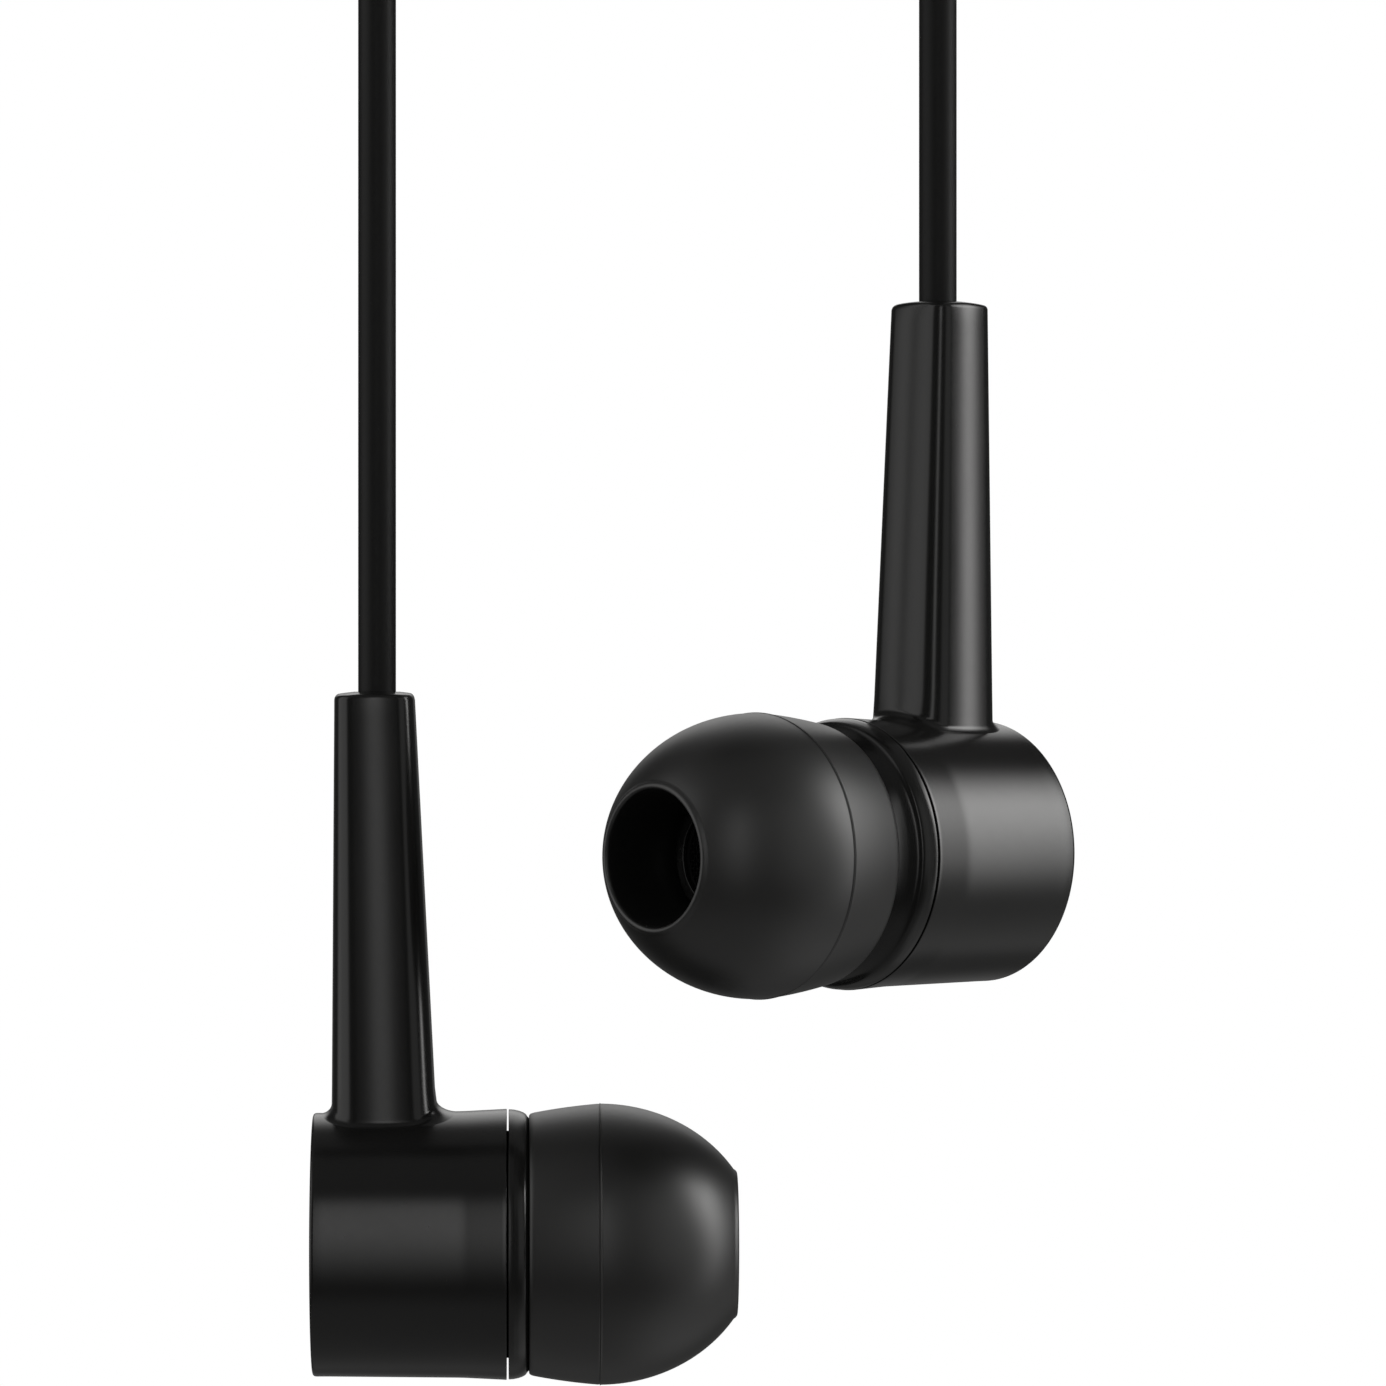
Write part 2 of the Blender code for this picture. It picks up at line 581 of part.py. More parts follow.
HANDLE_TOP = -HANDLE_DROP
HANDLE_FOOT = HANDLE_TOP - HANDLE_LEN
RELIEF_TOP = HANDLE_FOOT - 0.1
RELIEF_FOOT = HANDLE_FOOT - STRAIN_LEN
PLUG_TAIL_TOP = -9.9

PLUG_PARTS = [                              # name, finish, steps round, profile
    ("plug_tip_contact", "plating", PLUG_SEGMENTS,
     [(0, -3.2), (0.5, -3.2), (0.5, 10.9), (PLUG_RADIUS, 10.9), (PLUG_RADIUS, 11.35),
      (1.12, 11.9), (1.12, 12.1), (1.72, 12.5), (PLUG_RADIUS, 12.75), (1.45, 13.4),
      (0.75, 13.92), (0, PLUG_LEN)]),
    ("plug_insulator_tip", "ring_plastic", PLUG_SEGMENTS,
     block(PLUG_BORE_RADIUS, INSULATOR_RADIUS, 10.35, 10.85)),
    ("plug_ring_contact", "plating", PLUG_SEGMENTS,
     block(PLUG_BORE_RADIUS, PLUG_RADIUS, 7.90, 10.30)),
    ("plug_insulator_ring", "ring_plastic", PLUG_SEGMENTS,
     block(PLUG_BORE_RADIUS, INSULATOR_RADIUS, 7.35, 7.85)),
    ("plug_sleeve_contact", "plating", PLUG_SEGMENTS,
     [(PLUG_BORE_RADIUS, -2.4), (1.5, -2.4), (1.5, -0.95), (2.60, -0.95), (2.60, 0.0),
      (PLUG_RADIUS, 0.0), (PLUG_RADIUS, 7.30), (PLUG_BORE_RADIUS, 7.30)]),
    ("plug_inner_mould", "frame_plastic", PLUG_SEGMENTS,
     [(0.6, -9.5), (2.2, -9.5), (2.2, -1.2), (1.6, -1.2), (1.6, -2.6), (0.6, -2.6)]),
    ("plug_handle", "handle", HANDLE_SEGMENTS,
     [(1.10, HANDLE_FOOT), (2.45, HANDLE_FOOT), (2.85, HANDLE_FOOT + 0.8),
      (3.0, HANDLE_FOOT + 3.0), (3.0, -2.0), (2.8, HANDLE_TOP), (2.35, HANDLE_TOP),
      (2.35, -10.2), (1.10, -10.8)]),
    ("plug_strain_relief", "rubber", PLUG_SEGMENTS,
     [(1.08, RELIEF_TOP), (2.15, RELIEF_TOP), (1.75, RELIEF_TOP - 2.5),
      (1.45, RELIEF_TOP - 5.0), (1.30, RELIEF_FOOT), (1.08, RELIEF_FOOT)]),
]


def build_hank(hank):
    """The wound main cable, domed at its plug end, and the two wound branches."""
    route = main_route()
    cap = rounded_end(route[0], Vector((0, 0, 1)), MAIN_RADIUS)
    swept("main_cable", cap[::-1] + even(route, MAIN_RADIUS), "jacket", GROUND, hank,
          COILED_SIDES)
    for name in SIDES:
        swept(name + "_cable_coil", even(branch_route(name), BRANCH_RADIUS), "jacket",
              GROUND, hank, COILED_SIDES)


def build_splitter(hank):
    """An outer barrel open at both ends round an inner crimp collar."""
    foot = upright(Vector((SPLIT_X, PAIR_Y, HANK_Z + SPLIT_RISE)))
    for name, kind, profile in SPLITTER_PARTS:
        turned(name, profile, kind, foot, hank, PLUG_SEGMENTS)


def build_plug(bend):
    """Plug parts on one vertical axis, and the cable end below them."""
    shoulder_rise = STRAIN_CLEARANCE + STRAIN_LEN + HANDLE_LEN + HANDLE_DROP
    shoulder = bend + Vector((0, 0, shoulder_rise))
    for name, kind, segments, profile in PLUG_PARTS:
        turned(name, profile, kind, upright(shoulder), None, segments)
    straight_cable("plug_cable_tail", shoulder + Vector((0, 0, PLUG_TAIL_TOP)),
                   bend + Vector((0, 0, PLUG_BEND_HALF)), MAIN_RADIUS, GROUND, None)


for side_name in SIDES:
    build_bud(side_name)
plug_bend = Vector((PLUG_X, 0.0, HANK_Z + PLUG_BEND_RISE))
hank_pivot = pivot("hank_flex_axis", plug_bend)
build_hank(hank_pivot)
build_splitter(hank_pivot)
build_plug(plug_bend)
bpy.context.view_layer.update()
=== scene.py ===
"""In-ear earphones with a wound cable hank, a splitter and a three-contact plug.

The cable hank is wound in the XZ plane and the buds hang below it with their stems up (+Z).
The plug points up as well, and the camera looks along +Y. Each bud is turned about its own
axis, which runs from the closed back of the housing to the mouth of the soft tip.
Shapes are in millimetres and are scaled to metres when a mesh is made.
"""
import json
from math import acos, asin, atan2, cos, hypot, pi, radians, sin, sqrt, tau
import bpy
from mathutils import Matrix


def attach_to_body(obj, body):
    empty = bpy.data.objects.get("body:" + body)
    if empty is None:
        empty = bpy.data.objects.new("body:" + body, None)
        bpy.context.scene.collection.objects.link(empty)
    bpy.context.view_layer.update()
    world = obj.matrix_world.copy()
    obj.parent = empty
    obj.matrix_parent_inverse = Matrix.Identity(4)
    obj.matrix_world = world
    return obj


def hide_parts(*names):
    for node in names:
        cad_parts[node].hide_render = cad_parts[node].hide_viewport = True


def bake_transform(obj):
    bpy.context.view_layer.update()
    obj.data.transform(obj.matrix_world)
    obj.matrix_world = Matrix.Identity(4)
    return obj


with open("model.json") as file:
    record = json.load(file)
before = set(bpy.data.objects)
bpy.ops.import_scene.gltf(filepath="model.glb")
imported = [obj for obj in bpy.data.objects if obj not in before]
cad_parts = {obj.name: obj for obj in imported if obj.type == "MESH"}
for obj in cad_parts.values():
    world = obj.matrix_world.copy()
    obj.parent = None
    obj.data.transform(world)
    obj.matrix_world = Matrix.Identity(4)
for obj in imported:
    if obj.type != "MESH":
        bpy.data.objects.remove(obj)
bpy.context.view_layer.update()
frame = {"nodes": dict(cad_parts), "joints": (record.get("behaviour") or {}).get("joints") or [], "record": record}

from types import SimpleNamespace

import bmesh
import bpy
import numpy as np
from mathutils import Matrix, Vector

MM = 0.001
UP = Vector((0, 0, 1))
NODES = frame["nodes"]
JOINTS = {joint["name"]: joint for joint in frame["joints"]}


# ------------------------------------------------------------------ the frame
STEM_TOP = 22.81        # top of the stem above the bud's axis
FLEX_RISE = 1.0         # flex joint above the top of the stem
LEFT_BUD = Vector((-13.11, 0.0, -22.88))    # left bud in the cables' layout


def joint_at(name):
    return Vector(JOINTS[name]["pos_m"]) / MM


def read_side(name, tip_shift, pair_sign, bend_radius):
    """What sets one bud and its cable apart.

    tip_shift: soft tip's place out along the axis; pair_sign: its cable's side of the pair in y;
    bend_radius: of the bend that brings the cable off the hank.
    """
    flex = joint_at(name + "_bud_flex")
    return SimpleNamespace(
        name=name,
        flex=flex,
        at=flex - Vector((0, 0, STEM_TOP + FLEX_RISE)),
        cut=joint_at(name + "_cable_twist").z,
        axis=Vector(JOINTS[name + "_tip_pull"]["axis"]).normalized(),
        tip_shift=tip_shift,
        pair_sign=pair_sign,
        bend_radius=bend_radius,
    )


LEFT = read_side("left", tip_shift=0.0, pair_sign=1, bend_radius=15.0)
RIGHT = read_side("right", tip_shift=1.13, pair_sign=-1, bend_radius=11.0)
SIDES = (LEFT, RIGHT)
PLUG_BEND = joint_at("plug_cable_flex")
SHIFT = LEFT.at - LEFT_BUD      # from the cables' layout to the CAD frame


# --------------------------------------------------------------- shader graphs
class Graph:
    """Adds nodes to a material's or world's tree; an input is given a value or an output socket."""

    def __init__(self, owner):
        owner.use_nodes = True
        self.tree = owner.node_tree
        self.tree.nodes.clear()

    def put(self, socket, value):
        if isinstance(value, bpy.types.NodeSocket):
            self.tree.links.new(value, socket)
        else:
            socket.default_value = value

    def add(self, kind, **inputs):
        node = self.tree.nodes.new(kind)
        for key, value in inputs.items():
            self.put(node.inputs[key.replace("_", " ")], value)
        return node

    def math(self, operation, *operands, clamp=False):
        node = self.add("ShaderNodeMath")
        node.operation = operation
        node.use_clamp = clamp
        for socket, value in zip(node.inputs, operands):
            self.put(socket, value)
        return node.outputs[0]

    def step(self, value, low, high):
        """Smooth 0..1 as value goes from low to high (low may be above high)."""
        node = self.add("ShaderNodeMapRange", From_Min=low, From_Max=high, Value=value)
        node.interpolation_type = "SMOOTHSTEP"
        return node.outputs["Result"]

    def object_place(self):
        return self.add("ShaderNodeTexCoord").outputs["Object"]

    def scaled(self, place, scale):
        return self.add("ShaderNodeMapping", Vector=place, Scale=scale).outputs["Vector"]

    def noise(self, place, **inputs):
        return self.add("ShaderNodeTexNoise", Vector=place, **inputs).outputs["Fac"]

    def ramp(self, factor, *stops):
        """Colour ramp between two (position, colour) stops."""
        node = self.add("ShaderNodeValToRGB", Fac=factor)
        for element, (position, colour) in zip(node.color_ramp.elements, stops):
            element.position = position
            element.color = (*colour, 1)
        return node.outputs["Color"]

    def tint(self, factor, base, colour):
        node = self.add("ShaderNodeMix")
        node.data_type = "RGBA"
        self.put(node.inputs["Factor"], factor)
        self.put(node.inputs["A"], base)
        self.put(node.inputs["B"], (*colour, 1))
        return node.outputs["Result"]

    def bump(self, height, strength, distance):
        node = self.add("ShaderNodeBump", Strength=strength, Distance=distance, Height=height)
        return node.outputs["Normal"]

    def camera_switch(self, lighting, seen):
        """One shader for the light it sends to the scene, another for what the camera sees."""
        path = self.add("ShaderNodeLightPath")
        node = self.add("ShaderNodeMixShader")
        for socket, value in zip(node.inputs, (path.outputs["Is Camera Ray"], lighting, seen)):
            self.put(socket, value)
        return node.outputs["Shader"]


# ------------------------------------------------------------------- materials
def scaled_colour(colour, factor, lift=0.0):
    return [channel * factor + lift for channel in colour]


def polymer(name, colour, rough, grain=2600.0, grain_amount=0.10, bump=0.10, wear=0.35,
            specular=0.5, sheen=0.0, streak=None):
    """Moulded polymer: cloudy base tone, uneven roughness, fine grain, specks, paler edges.

    grain: scale of the fine noise; grain_amount: its share in the roughness; bump: its
    strength as relief; wear: how far edges turn paler; streak: noise scale per axis that
    adds drawn lines.
    """
    mat = bpy.data.materials.new(name)
    graph = Graph(mat)
    place = graph.object_place()
    cloud = graph.noise(place, Scale=140.0, Detail=3.0, Roughness=0.6)
    height = graph.noise(place, Scale=grain, Detail=2.0, Roughness=0.55)
    if streak:
        lines = graph.noise(graph.scaled(place, streak), Scale=1.0, Detail=2.0, Roughness=0.5)
        height = graph.math("ADD", graph.math("MULTIPLY", height, 0.5),
                            graph.math("MULTIPLY", lines, 0.7))

    specks = graph.add("ShaderNodeTexVoronoi", Vector=place, Scale=900.0)
    dust = graph.step(specks.outputs["Distance"], low=0.045, high=0.02)
    pointiness = graph.add("ShaderNodeNewGeometry").outputs["Pointiness"]
    edge = graph.step(pointiness, low=0.53, high=0.62)
    base = graph.ramp(cloud, (0.30, scaled_colour(colour, 0.86)),
                      (0.72, scaled_colour(colour, 1.16)))
    base = graph.tint(graph.math("MULTIPLY", edge, wear), base,
                      scaled_colour(colour, 2.4, lift=0.012))
    base = graph.tint(graph.math("MULTIPLY", dust, 0.04), base, (0.16, 0.155, 0.15))

    grain_part = graph.math("MULTIPLY", graph.math("SUBTRACT", height, 0.5), grain_amount)
    grainy = graph.math("ADD", grain_part, rough)
    cloud_part = graph.math("MULTIPLY", graph.math("SUBTRACT", cloud, 0.5), 0.07)
    bsdf = graph.add(
        "ShaderNodeBsdfPrincipled",
        Base_Color=base,
        Roughness=graph.math("ADD", grainy, cloud_part, clamp=True),
        Normal=graph.bump(height, strength=bump, distance=0.00004),
        Specular_IOR_Level=specular,
        Sheen_Weight=sheen,
        Sheen_Roughness=0.5,
        Coat_Roughness=0.25,
    )
    graph.add("ShaderNodeOutputMaterial", Surface=bsdf.outputs["BSDF"])
    return mat


TURNED_MARKS = (120, 120, 26000)    # noise scale per axis: rings round Z
EVEN_MARKS = (3000, 3000, 3000)


def metal(name, colour, rough, marks=TURNED_MARKS):
    """Metal with fine turning or rolling marks and faint tarnish."""
    mat = bpy.data.materials.new(name)
    graph = Graph(mat)
    place = graph.object_place()
    lines = graph.noise(graph.scaled(place, marks), Scale=1.0, Detail=3.0)
    stain = graph.noise(place, Scale=260.0, Detail=4.0)
    base = graph.ramp(stain, (0.35, scaled_colour(colour, 0.82)), (0.65, colour))
    lined = graph.math("ADD", graph.math("MULTIPLY", lines, 0.16), rough - 0.06)
    stained = graph.math("ADD", lined, graph.math("MULTIPLY", stain, 0.10), clamp=True)
    bsdf = graph.add(
        "ShaderNodeBsdfPrincipled",
        Metallic=1.0,
        Base_Color=base,
        Roughness=stained,
        Normal=graph.bump(lines, strength=0.10, distance=0.00003),
    )
    graph.add("ShaderNodeOutputMaterial", Surface=bsdf.outputs["BSDF"])
    return mat


def fibrous(name, colour, grain):
    return polymer(name, colour, rough=0.92, grain=grain, grain_amount=0.2, bump=0.8, wear=0.0,
                   specular=0.2, sheen=0.4)


MATS = {
    "shell": polymer("shell_plastic", (0.0120, 0.0120, 0.0116), rough=0.21, grain=3400,
                     bump=0.010, grain_amount=0.03, wear=0.30),
    "silicone": polymer("tip_silicone", (0.0092, 0.0092, 0.0089), rough=0.40, specular=0.95,
                        grain=3800, bump=0.016, grain_amount=0.04, wear=0.10),
    "jacket": polymer("cable_jacket", (0.0068, 0.0068, 0.0066), rough=0.50, grain=4200,
                      bump=0.045, grain_amount=0.08, wear=0.0, streak=(3600, 3600, 120),
                      specular=0.29),
    "handle": polymer("handle_plastic", (0.014, 0.014, 0.0138), rough=0.34, grain=4200,
                      bump=0.09),
    "rubber": polymer("moulded_rubber", (0.012, 0.012, 0.0118), rough=0.58, grain=4200,
                      bump=0.16, wear=0.2),
    "ring_plastic": polymer("insulator_plastic", (0.012, 0.012, 0.012), rough=0.32, wear=0.2),
    "frame_plastic": polymer("frame_plastic", (0.05, 0.05, 0.05), rough=0.5),
    "film": polymer("driver_film", (0.62, 0.58, 0.45), rough=0.25, bump=0.05, wear=0.0),
    "board": polymer("terminal_board", (0.03, 0.16, 0.07), rough=0.4, wear=0.2),
    "wire_red": polymer("wire_red", (0.45, 0.05, 0.04), rough=0.4, wear=0.0),
    "wire_green": polymer("wire_green", (0.05, 0.28, 0.10), rough=0.4, wear=0.0),
    "plating": metal("nickel_plating", (0.80, 0.80, 0.79), rough=0.14),
    "steel": metal("stamped_steel", (0.56, 0.56, 0.57), rough=0.34, marks=EVEN_MARKS),
    "magnet": metal("magnet_plating", (0.52, 0.52, 0.53), rough=0.22, marks=EVEN_MARKS),
    "copper": metal("copper_wire", (0.80, 0.42, 0.24), rough=0.28),
    "mesh": metal("mesh_wire", (0.018, 0.018, 0.018), rough=0.50, marks=EVEN_MARKS),
    "felt": fibrous("felt", (0.10, 0.10, 0.10), grain=2200.0),
    "foam": fibrous("foam", (0.13, 0.13, 0.135), grain=1500.0),
}


def dress_cad_pieces():
    for entry in frame["record"]["subparts"]:
        materials = NODES[entry["node"]].data.materials
        materials.clear()
        materials.append(MATS[entry["material_slot"]])


# --------------------------------------------------------------- mesh builders
def make(name, verts, faces, slot, matrix=None, sharp_angle=None):
    """Smooth-shaded object from millimetre points, with its faces turned outward."""
    points = [Vector(v) for v in verts]
    if matrix is not None:
        points = [matrix @ p for p in points]
    mesh = bpy.data.meshes.new(name)
    mesh.from_pydata([p * MM for p in points], [], faces)
    mesh.validate(verbose=False)
    bm = bmesh.new()
    bm.from_mesh(mesh)
    bmesh.ops.recalc_face_normals(bm, faces=bm.faces)
    if bm.calc_volume(signed=True) < 0:
        bmesh.ops.reverse_faces(bm, faces=bm.faces)
    bm.to_mesh(mesh)
    bm.free()
    mesh.shade_smooth()
    if sharp_angle:
        mesh.set_sharp_from_angle(angle=radians(sharp_angle))
    piece = bpy.data.objects.new(name, mesh)
    bpy.context.scene.collection.objects.link(piece)
    mesh.materials.append(MATS[slot])
    return piece


def attach(piece, part, replaced=None):
    """Moves the piece with a part, in place of a CAD piece if one is named."""
    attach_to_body(piece, part)
    if replaced:
        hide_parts(replaced)


def placement(x, y, z, at):
    matrix = Matrix((x, y, z)).transposed().to_4x4()
    matrix.translation = at
    return matrix


def frame_on(at, axis):
    """Local Z along axis, local X straight up (or along X when the axis is vertical)."""
    z = Vector(axis).normalized()
    x = UP if abs(z.z) < 0.9 else Vector((1, 0, 0))
    x = (x - z * x.dot(z)).normalized()
    return placement(x, z.cross(x), z, at)


def band(lower, upper):
    """Quads between two rows of as many vertex numbers."""
    count = len(lower)
    faces = []
    for k in range(count):
        after = (k + 1) % count
        faces.append((lower[k], lower[after], upper[after], upper[k]))
    return faces


def skin(rings):
    """Vertices and faces over a stack of equal rings, both ends closed by fans."""
    count = len(rings[0])
    verts = [Vector(p) for ring in rings for p in ring]
    rows = [range(i * count, (i + 1) * count) for i in range(len(rings))]
    faces = [quad for pair in zip(rows, rows[1:]) for quad in band(*pair)]
    for row in (rows[0], rows[-1]):
        centre = len(verts)
        verts.append(sum((verts[i] for i in row), Vector()) / count)
        faces += [(row[(k + 1) % count], row[k], centre) for k in range(count)]
    return verts, faces


def turned(name, profile, slot, at, axis, segments, closed=False):
    """Turned solid from (radius, height) points; radius 0 at both ends unless closed."""
    verts, rows, faces = [], [], []
    for radius, height in profile:
        first = len(verts)
        if radius < 1e-7:
            verts.append((0.0, 0.0, height))
        else:
            for k in range(segments):
                angle = tau * k / segments
                verts.append((radius * cos(angle), radius * sin(angle), height))
        rows.append(range(first, len(verts)))
    pairs = list(zip(rows, rows[1:]))
    if closed:
        pairs.append((rows[-1], rows[0]))
    for lower, upper in pairs:
        if len(lower) == 1:
            faces += [(lower[0], upper[(k + 1) % segments], upper[k]) for k in range(segments)]
        elif len(upper) == 1:
            faces += [(lower[k], lower[(k + 1) % segments], upper[0]) for k in range(segments)]
        else:
            faces += band(lower, upper)
    return make(name, verts, faces, slot, frame_on(Vector(at), axis))


def rounded(points, closed=False, steps=5):
    """Polyline of (radius, height) or (radius, height, fillet) points, corners rounded."""
    out = []
    count = len(points)
    for i, point in enumerate(points):
        fillet = point[2] if len(point) > 2 else 0.0
        here = Vector(point[:2])
        if fillet <= 0 or (not closed and i in (0, count - 1)):
            out.append(here)
            continue
        back = Vector(points[i - 1][:2]) - here
        ahead = Vector(points[(i + 1) % count][:2]) - here
        fillet = min(fillet, back.length * 0.49, ahead.length * 0.49)
        start = here + back.normalized() * fillet
        end = here + ahead.normalized() * fillet
        for k in range(steps + 1):
            t = k / steps
            out.append((1 - t) ** 2 * start + 2 * (1 - t) * t * here + t * t * end)
    return out


def washer(inner, outer, low, high, inner_fillet, outer_fillet, steps=5):
    """Closed profile of a flat-sided ring."""
    return rounded([(inner, low, inner_fillet), (outer, low, outer_fillet),
                    (outer, high, outer_fillet), (inner, high, inner_fillet)],
                   closed=True, steps=steps)


def spline(points, per_span):
    """Catmull-Rom curve through the points."""
    pts = [Vector(p) for p in points]
    pts = [2 * pts[0] - pts[1]] + pts + [2 * pts[-1] - pts[-2]]
    out = []
    for i in range(1, len(pts) - 2):
        p0, p1, p2, p3 = pts[i - 1:i + 3]
        for k in range(per_span):
            t = k / per_span
            out.append(0.5 * ((2 * p1) + (p2 - p0) * t + (2 * p0 - 5 * p1 + 4 * p2 - p3) * t * t
                              + (3 * p1 - p0 - 3 * p2 + p3) * t ** 3))
    out.append(pts[-2])
    return out


def smoothstep(t):
    t = min(max(t, 0.0), 1.0)
    return t * t * (3 - 2 * t)


# -------------------------------------------------------------------- housings
# Profiles run in (radius, distance along the bud's axis); the stem stands over distance 0.
BACK, SEAM, SEAM_GAP = -2.655, 5.38, 0.08
WALL_R = 5.42               # plain cylinder the rear wall rises from
WALL_RISE = 0.030           # rise at the back edge
TAPER_FROM, TAPER = -2.05, 0.0115
CONE_FROM, CONE, CONE_BEND = 3.35, 0.040, 0.45
REAR_BORE_R, REAR_BORE_FLOOR = 4.86, -1.9
NOZZLE_R, NOZZLE_BORE_R, NOZZLE_END = 2.55, 1.95, 12.6

# Front housing from the seam in to the nozzle.
NECK = [(5.576, 5.68), (5.515, 5.93), (5.415, 6.14), (5.240, 6.29), (5.00, 6.62), (4.66, 7.0),
        (4.16, 7.4), (3.42, 7.8), (2.82, 8.1), (2.58, 8.42), (NOZZLE_R, 8.8)]


def wall_radius(along):
    """Rear housing's radius: barely conical all along, then a short bend and a steeper cone."""
    rise = WALL_RISE + TAPER * (max(along, TAPER_FROM) - TAPER_FROM)
    past = along - CONE_FROM
    if past > 0:
        in_bend = past < CONE_BEND
        rise += CONE * (past * past / (2 * CONE_BEND) if in_bend else past - CONE_BEND / 2)
    return WALL_R + rise


def rear_profile():
    # slightly domed back, from the centre out
    pts = [(0.7 * k, BACK + 0.05 * (1 - (0.7 * k / 5.0) ** 2)) for k in range(7)]
    edge_radius = WALL_R + WALL_RISE
    pts += rounded([(5.0, BACK), (edge_radius, BACK, 0.17), (edge_radius, BACK + 0.6)], steps=8)
    wall = [-1.6 + (3.0 + 1.6) * k / 8 for k in range(9)]
    wall += [3.0 + (5.20 - 3.0) * k / 30 for k in range(1, 31)]
    pts += [(wall_radius(along), along) for along in wall]
    pts += rounded([(wall_radius(5.22), 5.22), (wall_radius(SEAM), SEAM, 0.03),
                    (REAR_BORE_R, SEAM, 0.03), (REAR_BORE_R, 4.6)])[1:]
    return pts + [(REAR_BORE_R, REAR_BORE_FLOOR), (0.0, REAR_BORE_FLOOR)]


def front_profile():
    start = SEAM + SEAM_GAP
    pts = rounded([(4.35, 4.95, 0.05), (4.70, 4.95, 0.06), (4.70, start), (5.593, start, 0.045),
                   NECK[0]])[:-1]
    pts += spline(NECK, per_span=7)
    # nozzle, its raised end and the way back into the bore
    pts += rounded([(NOZZLE_R, 10.8), (NOZZLE_R, 10.95, 0.1), (2.68, 11.08, 0.06),
                    (2.68, 11.7, 0.2), (2.47, 12.55, 0.1), (2.30, NOZZLE_END, 0.06),
                    (NOZZLE_BORE_R, NOZZLE_END, 0.05), (NOZZLE_BORE_R, 12.3)], steps=4)
    return pts + [(NOZZLE_BORE_R, 8.2), (2.9, 7.4), (3.9, 6.75), (4.35, 6.1)]


def build_rear_shell(side):
    rear = turned(side.name + "_rear_shell", rear_profile(), "shell", side.at, side.axis, 200)
    attach(rear, side.name + "_bud", side.name + "_rear_housing")


def build_front_shell(side):
    front = turned(side.name + "_front_shell", front_profile(), "shell", side.at, side.axis, 200,
                   closed=True)
    attach(front, side.name + "_bud", side.name + "_front_housing")


# -------------------------------------------------------------------- soft tip
TIP_MAX_R, TIP_MAX_AT = 5.82, 9.236         # widest place
TIP_DOME = 6.58                             # length of the outer dome's full ellipse
TIP_INNER_R, TIP_INNER_DOME = 5.32, TIP_DOME - 0.62
TIP_BORE_R, TIP_SLEEVE_R, TIP_SLEEVE_BACK = 2.77, 3.25, 9.9

TIP_LIP = [(2.77, 14.74), (2.785, 14.84), (2.83, 14.915), (2.90, 14.945), (2.985, 14.93),
           (3.06, 14.87)]
# Moulding line, a raised hair with a nick behind it: (along, outward) from the widest place.
TIP_LINE = [(0.055, 0.0), (0.032, 0.012), (0.015, 0.026), (0.0, 0.022), (-0.010, -0.018),
            (-0.026, -0.024), (-0.042, 0.0)]
TIP_RIM = [(5.425, 6.42), (5.385, 6.345), (5.325, 6.305), (5.275, 6.315), (5.235, 6.37),
           (5.16, 6.50), (5.04, 6.75), (4.985, 6.95), (5.02, 7.3)]


def ellipse_radius(along, radius, length):
    return radius * sqrt(1 - ((along - TIP_MAX_AT) / length) ** 2)


def tip_outer(along):
    if along > TIP_MAX_AT:
        return ellipse_radius(along, TIP_MAX_R, TIP_DOME)
    behind = TIP_MAX_AT - along
    return TIP_MAX_R - 0.0777 * behind - 0.021 * behind * behind


def tip_profile():
    # bore wall from the sleeve's rear to the mouth, then the rounded lip
    pts = [(TIP_BORE_R, along) for along in (TIP_SLEEVE_BACK, 11.0, 13.0, 14.3, 14.62)]
    pts += spline(TIP_LIP, per_span=3)
    # dome, evenly by angle
    mouth_angle = asin((14.80 - TIP_MAX_AT) / TIP_DOME)
    for k in range(70):
        along = TIP_MAX_AT + TIP_DOME * sin(mouth_angle * (1 - k / 70))
        pts.append((tip_outer(along), along))
    pts += [(tip_outer(TIP_MAX_AT + along) + outward, TIP_MAX_AT + along)
            for along, outward in TIP_LINE]
    # skirt back to the rim
    skirt_from = TIP_MAX_AT - 0.05
    for k in range(1, 40):
        along = skirt_from - (skirt_from - 6.50) * k / 39
        pts.append((tip_outer(along), along))
    pts += spline(TIP_RIM, per_span=4)
    # inside of the skirt and dome, then the sleeve's outside
    pts += [(5.14, 7.9), (5.27, 8.6)]
    pts += [(ellipse_radius(along, TIP_INNER_R, TIP_INNER_DOME), along)
            for along in np.linspace(TIP_MAX_AT, 13.3, 12)]
    pts += rounded([(3.6, 13.78), (TIP_SLEEVE_R, 13.95, 0.35), (TIP_SLEEVE_R, 13.2)])
    pts += rounded([(TIP_SLEEVE_R, 10.4), (TIP_SLEEVE_R, TIP_SLEEVE_BACK, 0.08),
                    (TIP_BORE_R, TIP_SLEEVE_BACK)], steps=3)[:-1]
    return pts


def build_soft_tip(side):
    tip = turned(side.name + "_soft_tip", tip_profile(), "silicone",
                 side.at + side.axis * side.tip_shift, side.axis, 220, closed=True)
    attach(tip, side.name + "_tip", side.name + "_ear_tip")


# ------------------------------------------------------------------------ stem
# Rings of (x, y) about the stem, x along the bud's axis; z is height above that axis.
FACE_POINTS, CORNER_POINTS = 15, 25
FACE_SWELL = radians(6.5)       # how far each face's crown turns either way
FOOT_Z = 5.3                    # height whose section is used for the foot
FILLET_STEPS = 14
SHAFT_Z, SHAFT_LEVELS = 6.5, 24
TOP_EDGE, TOP_CROWN = 0.20, 0.15
SHOULDER_Z = STEM_TOP + 0.14 - TOP_CROWN - TOP_EDGE
HOLE_R, MOUTH_R = 0.88, 0.88 + 0.05


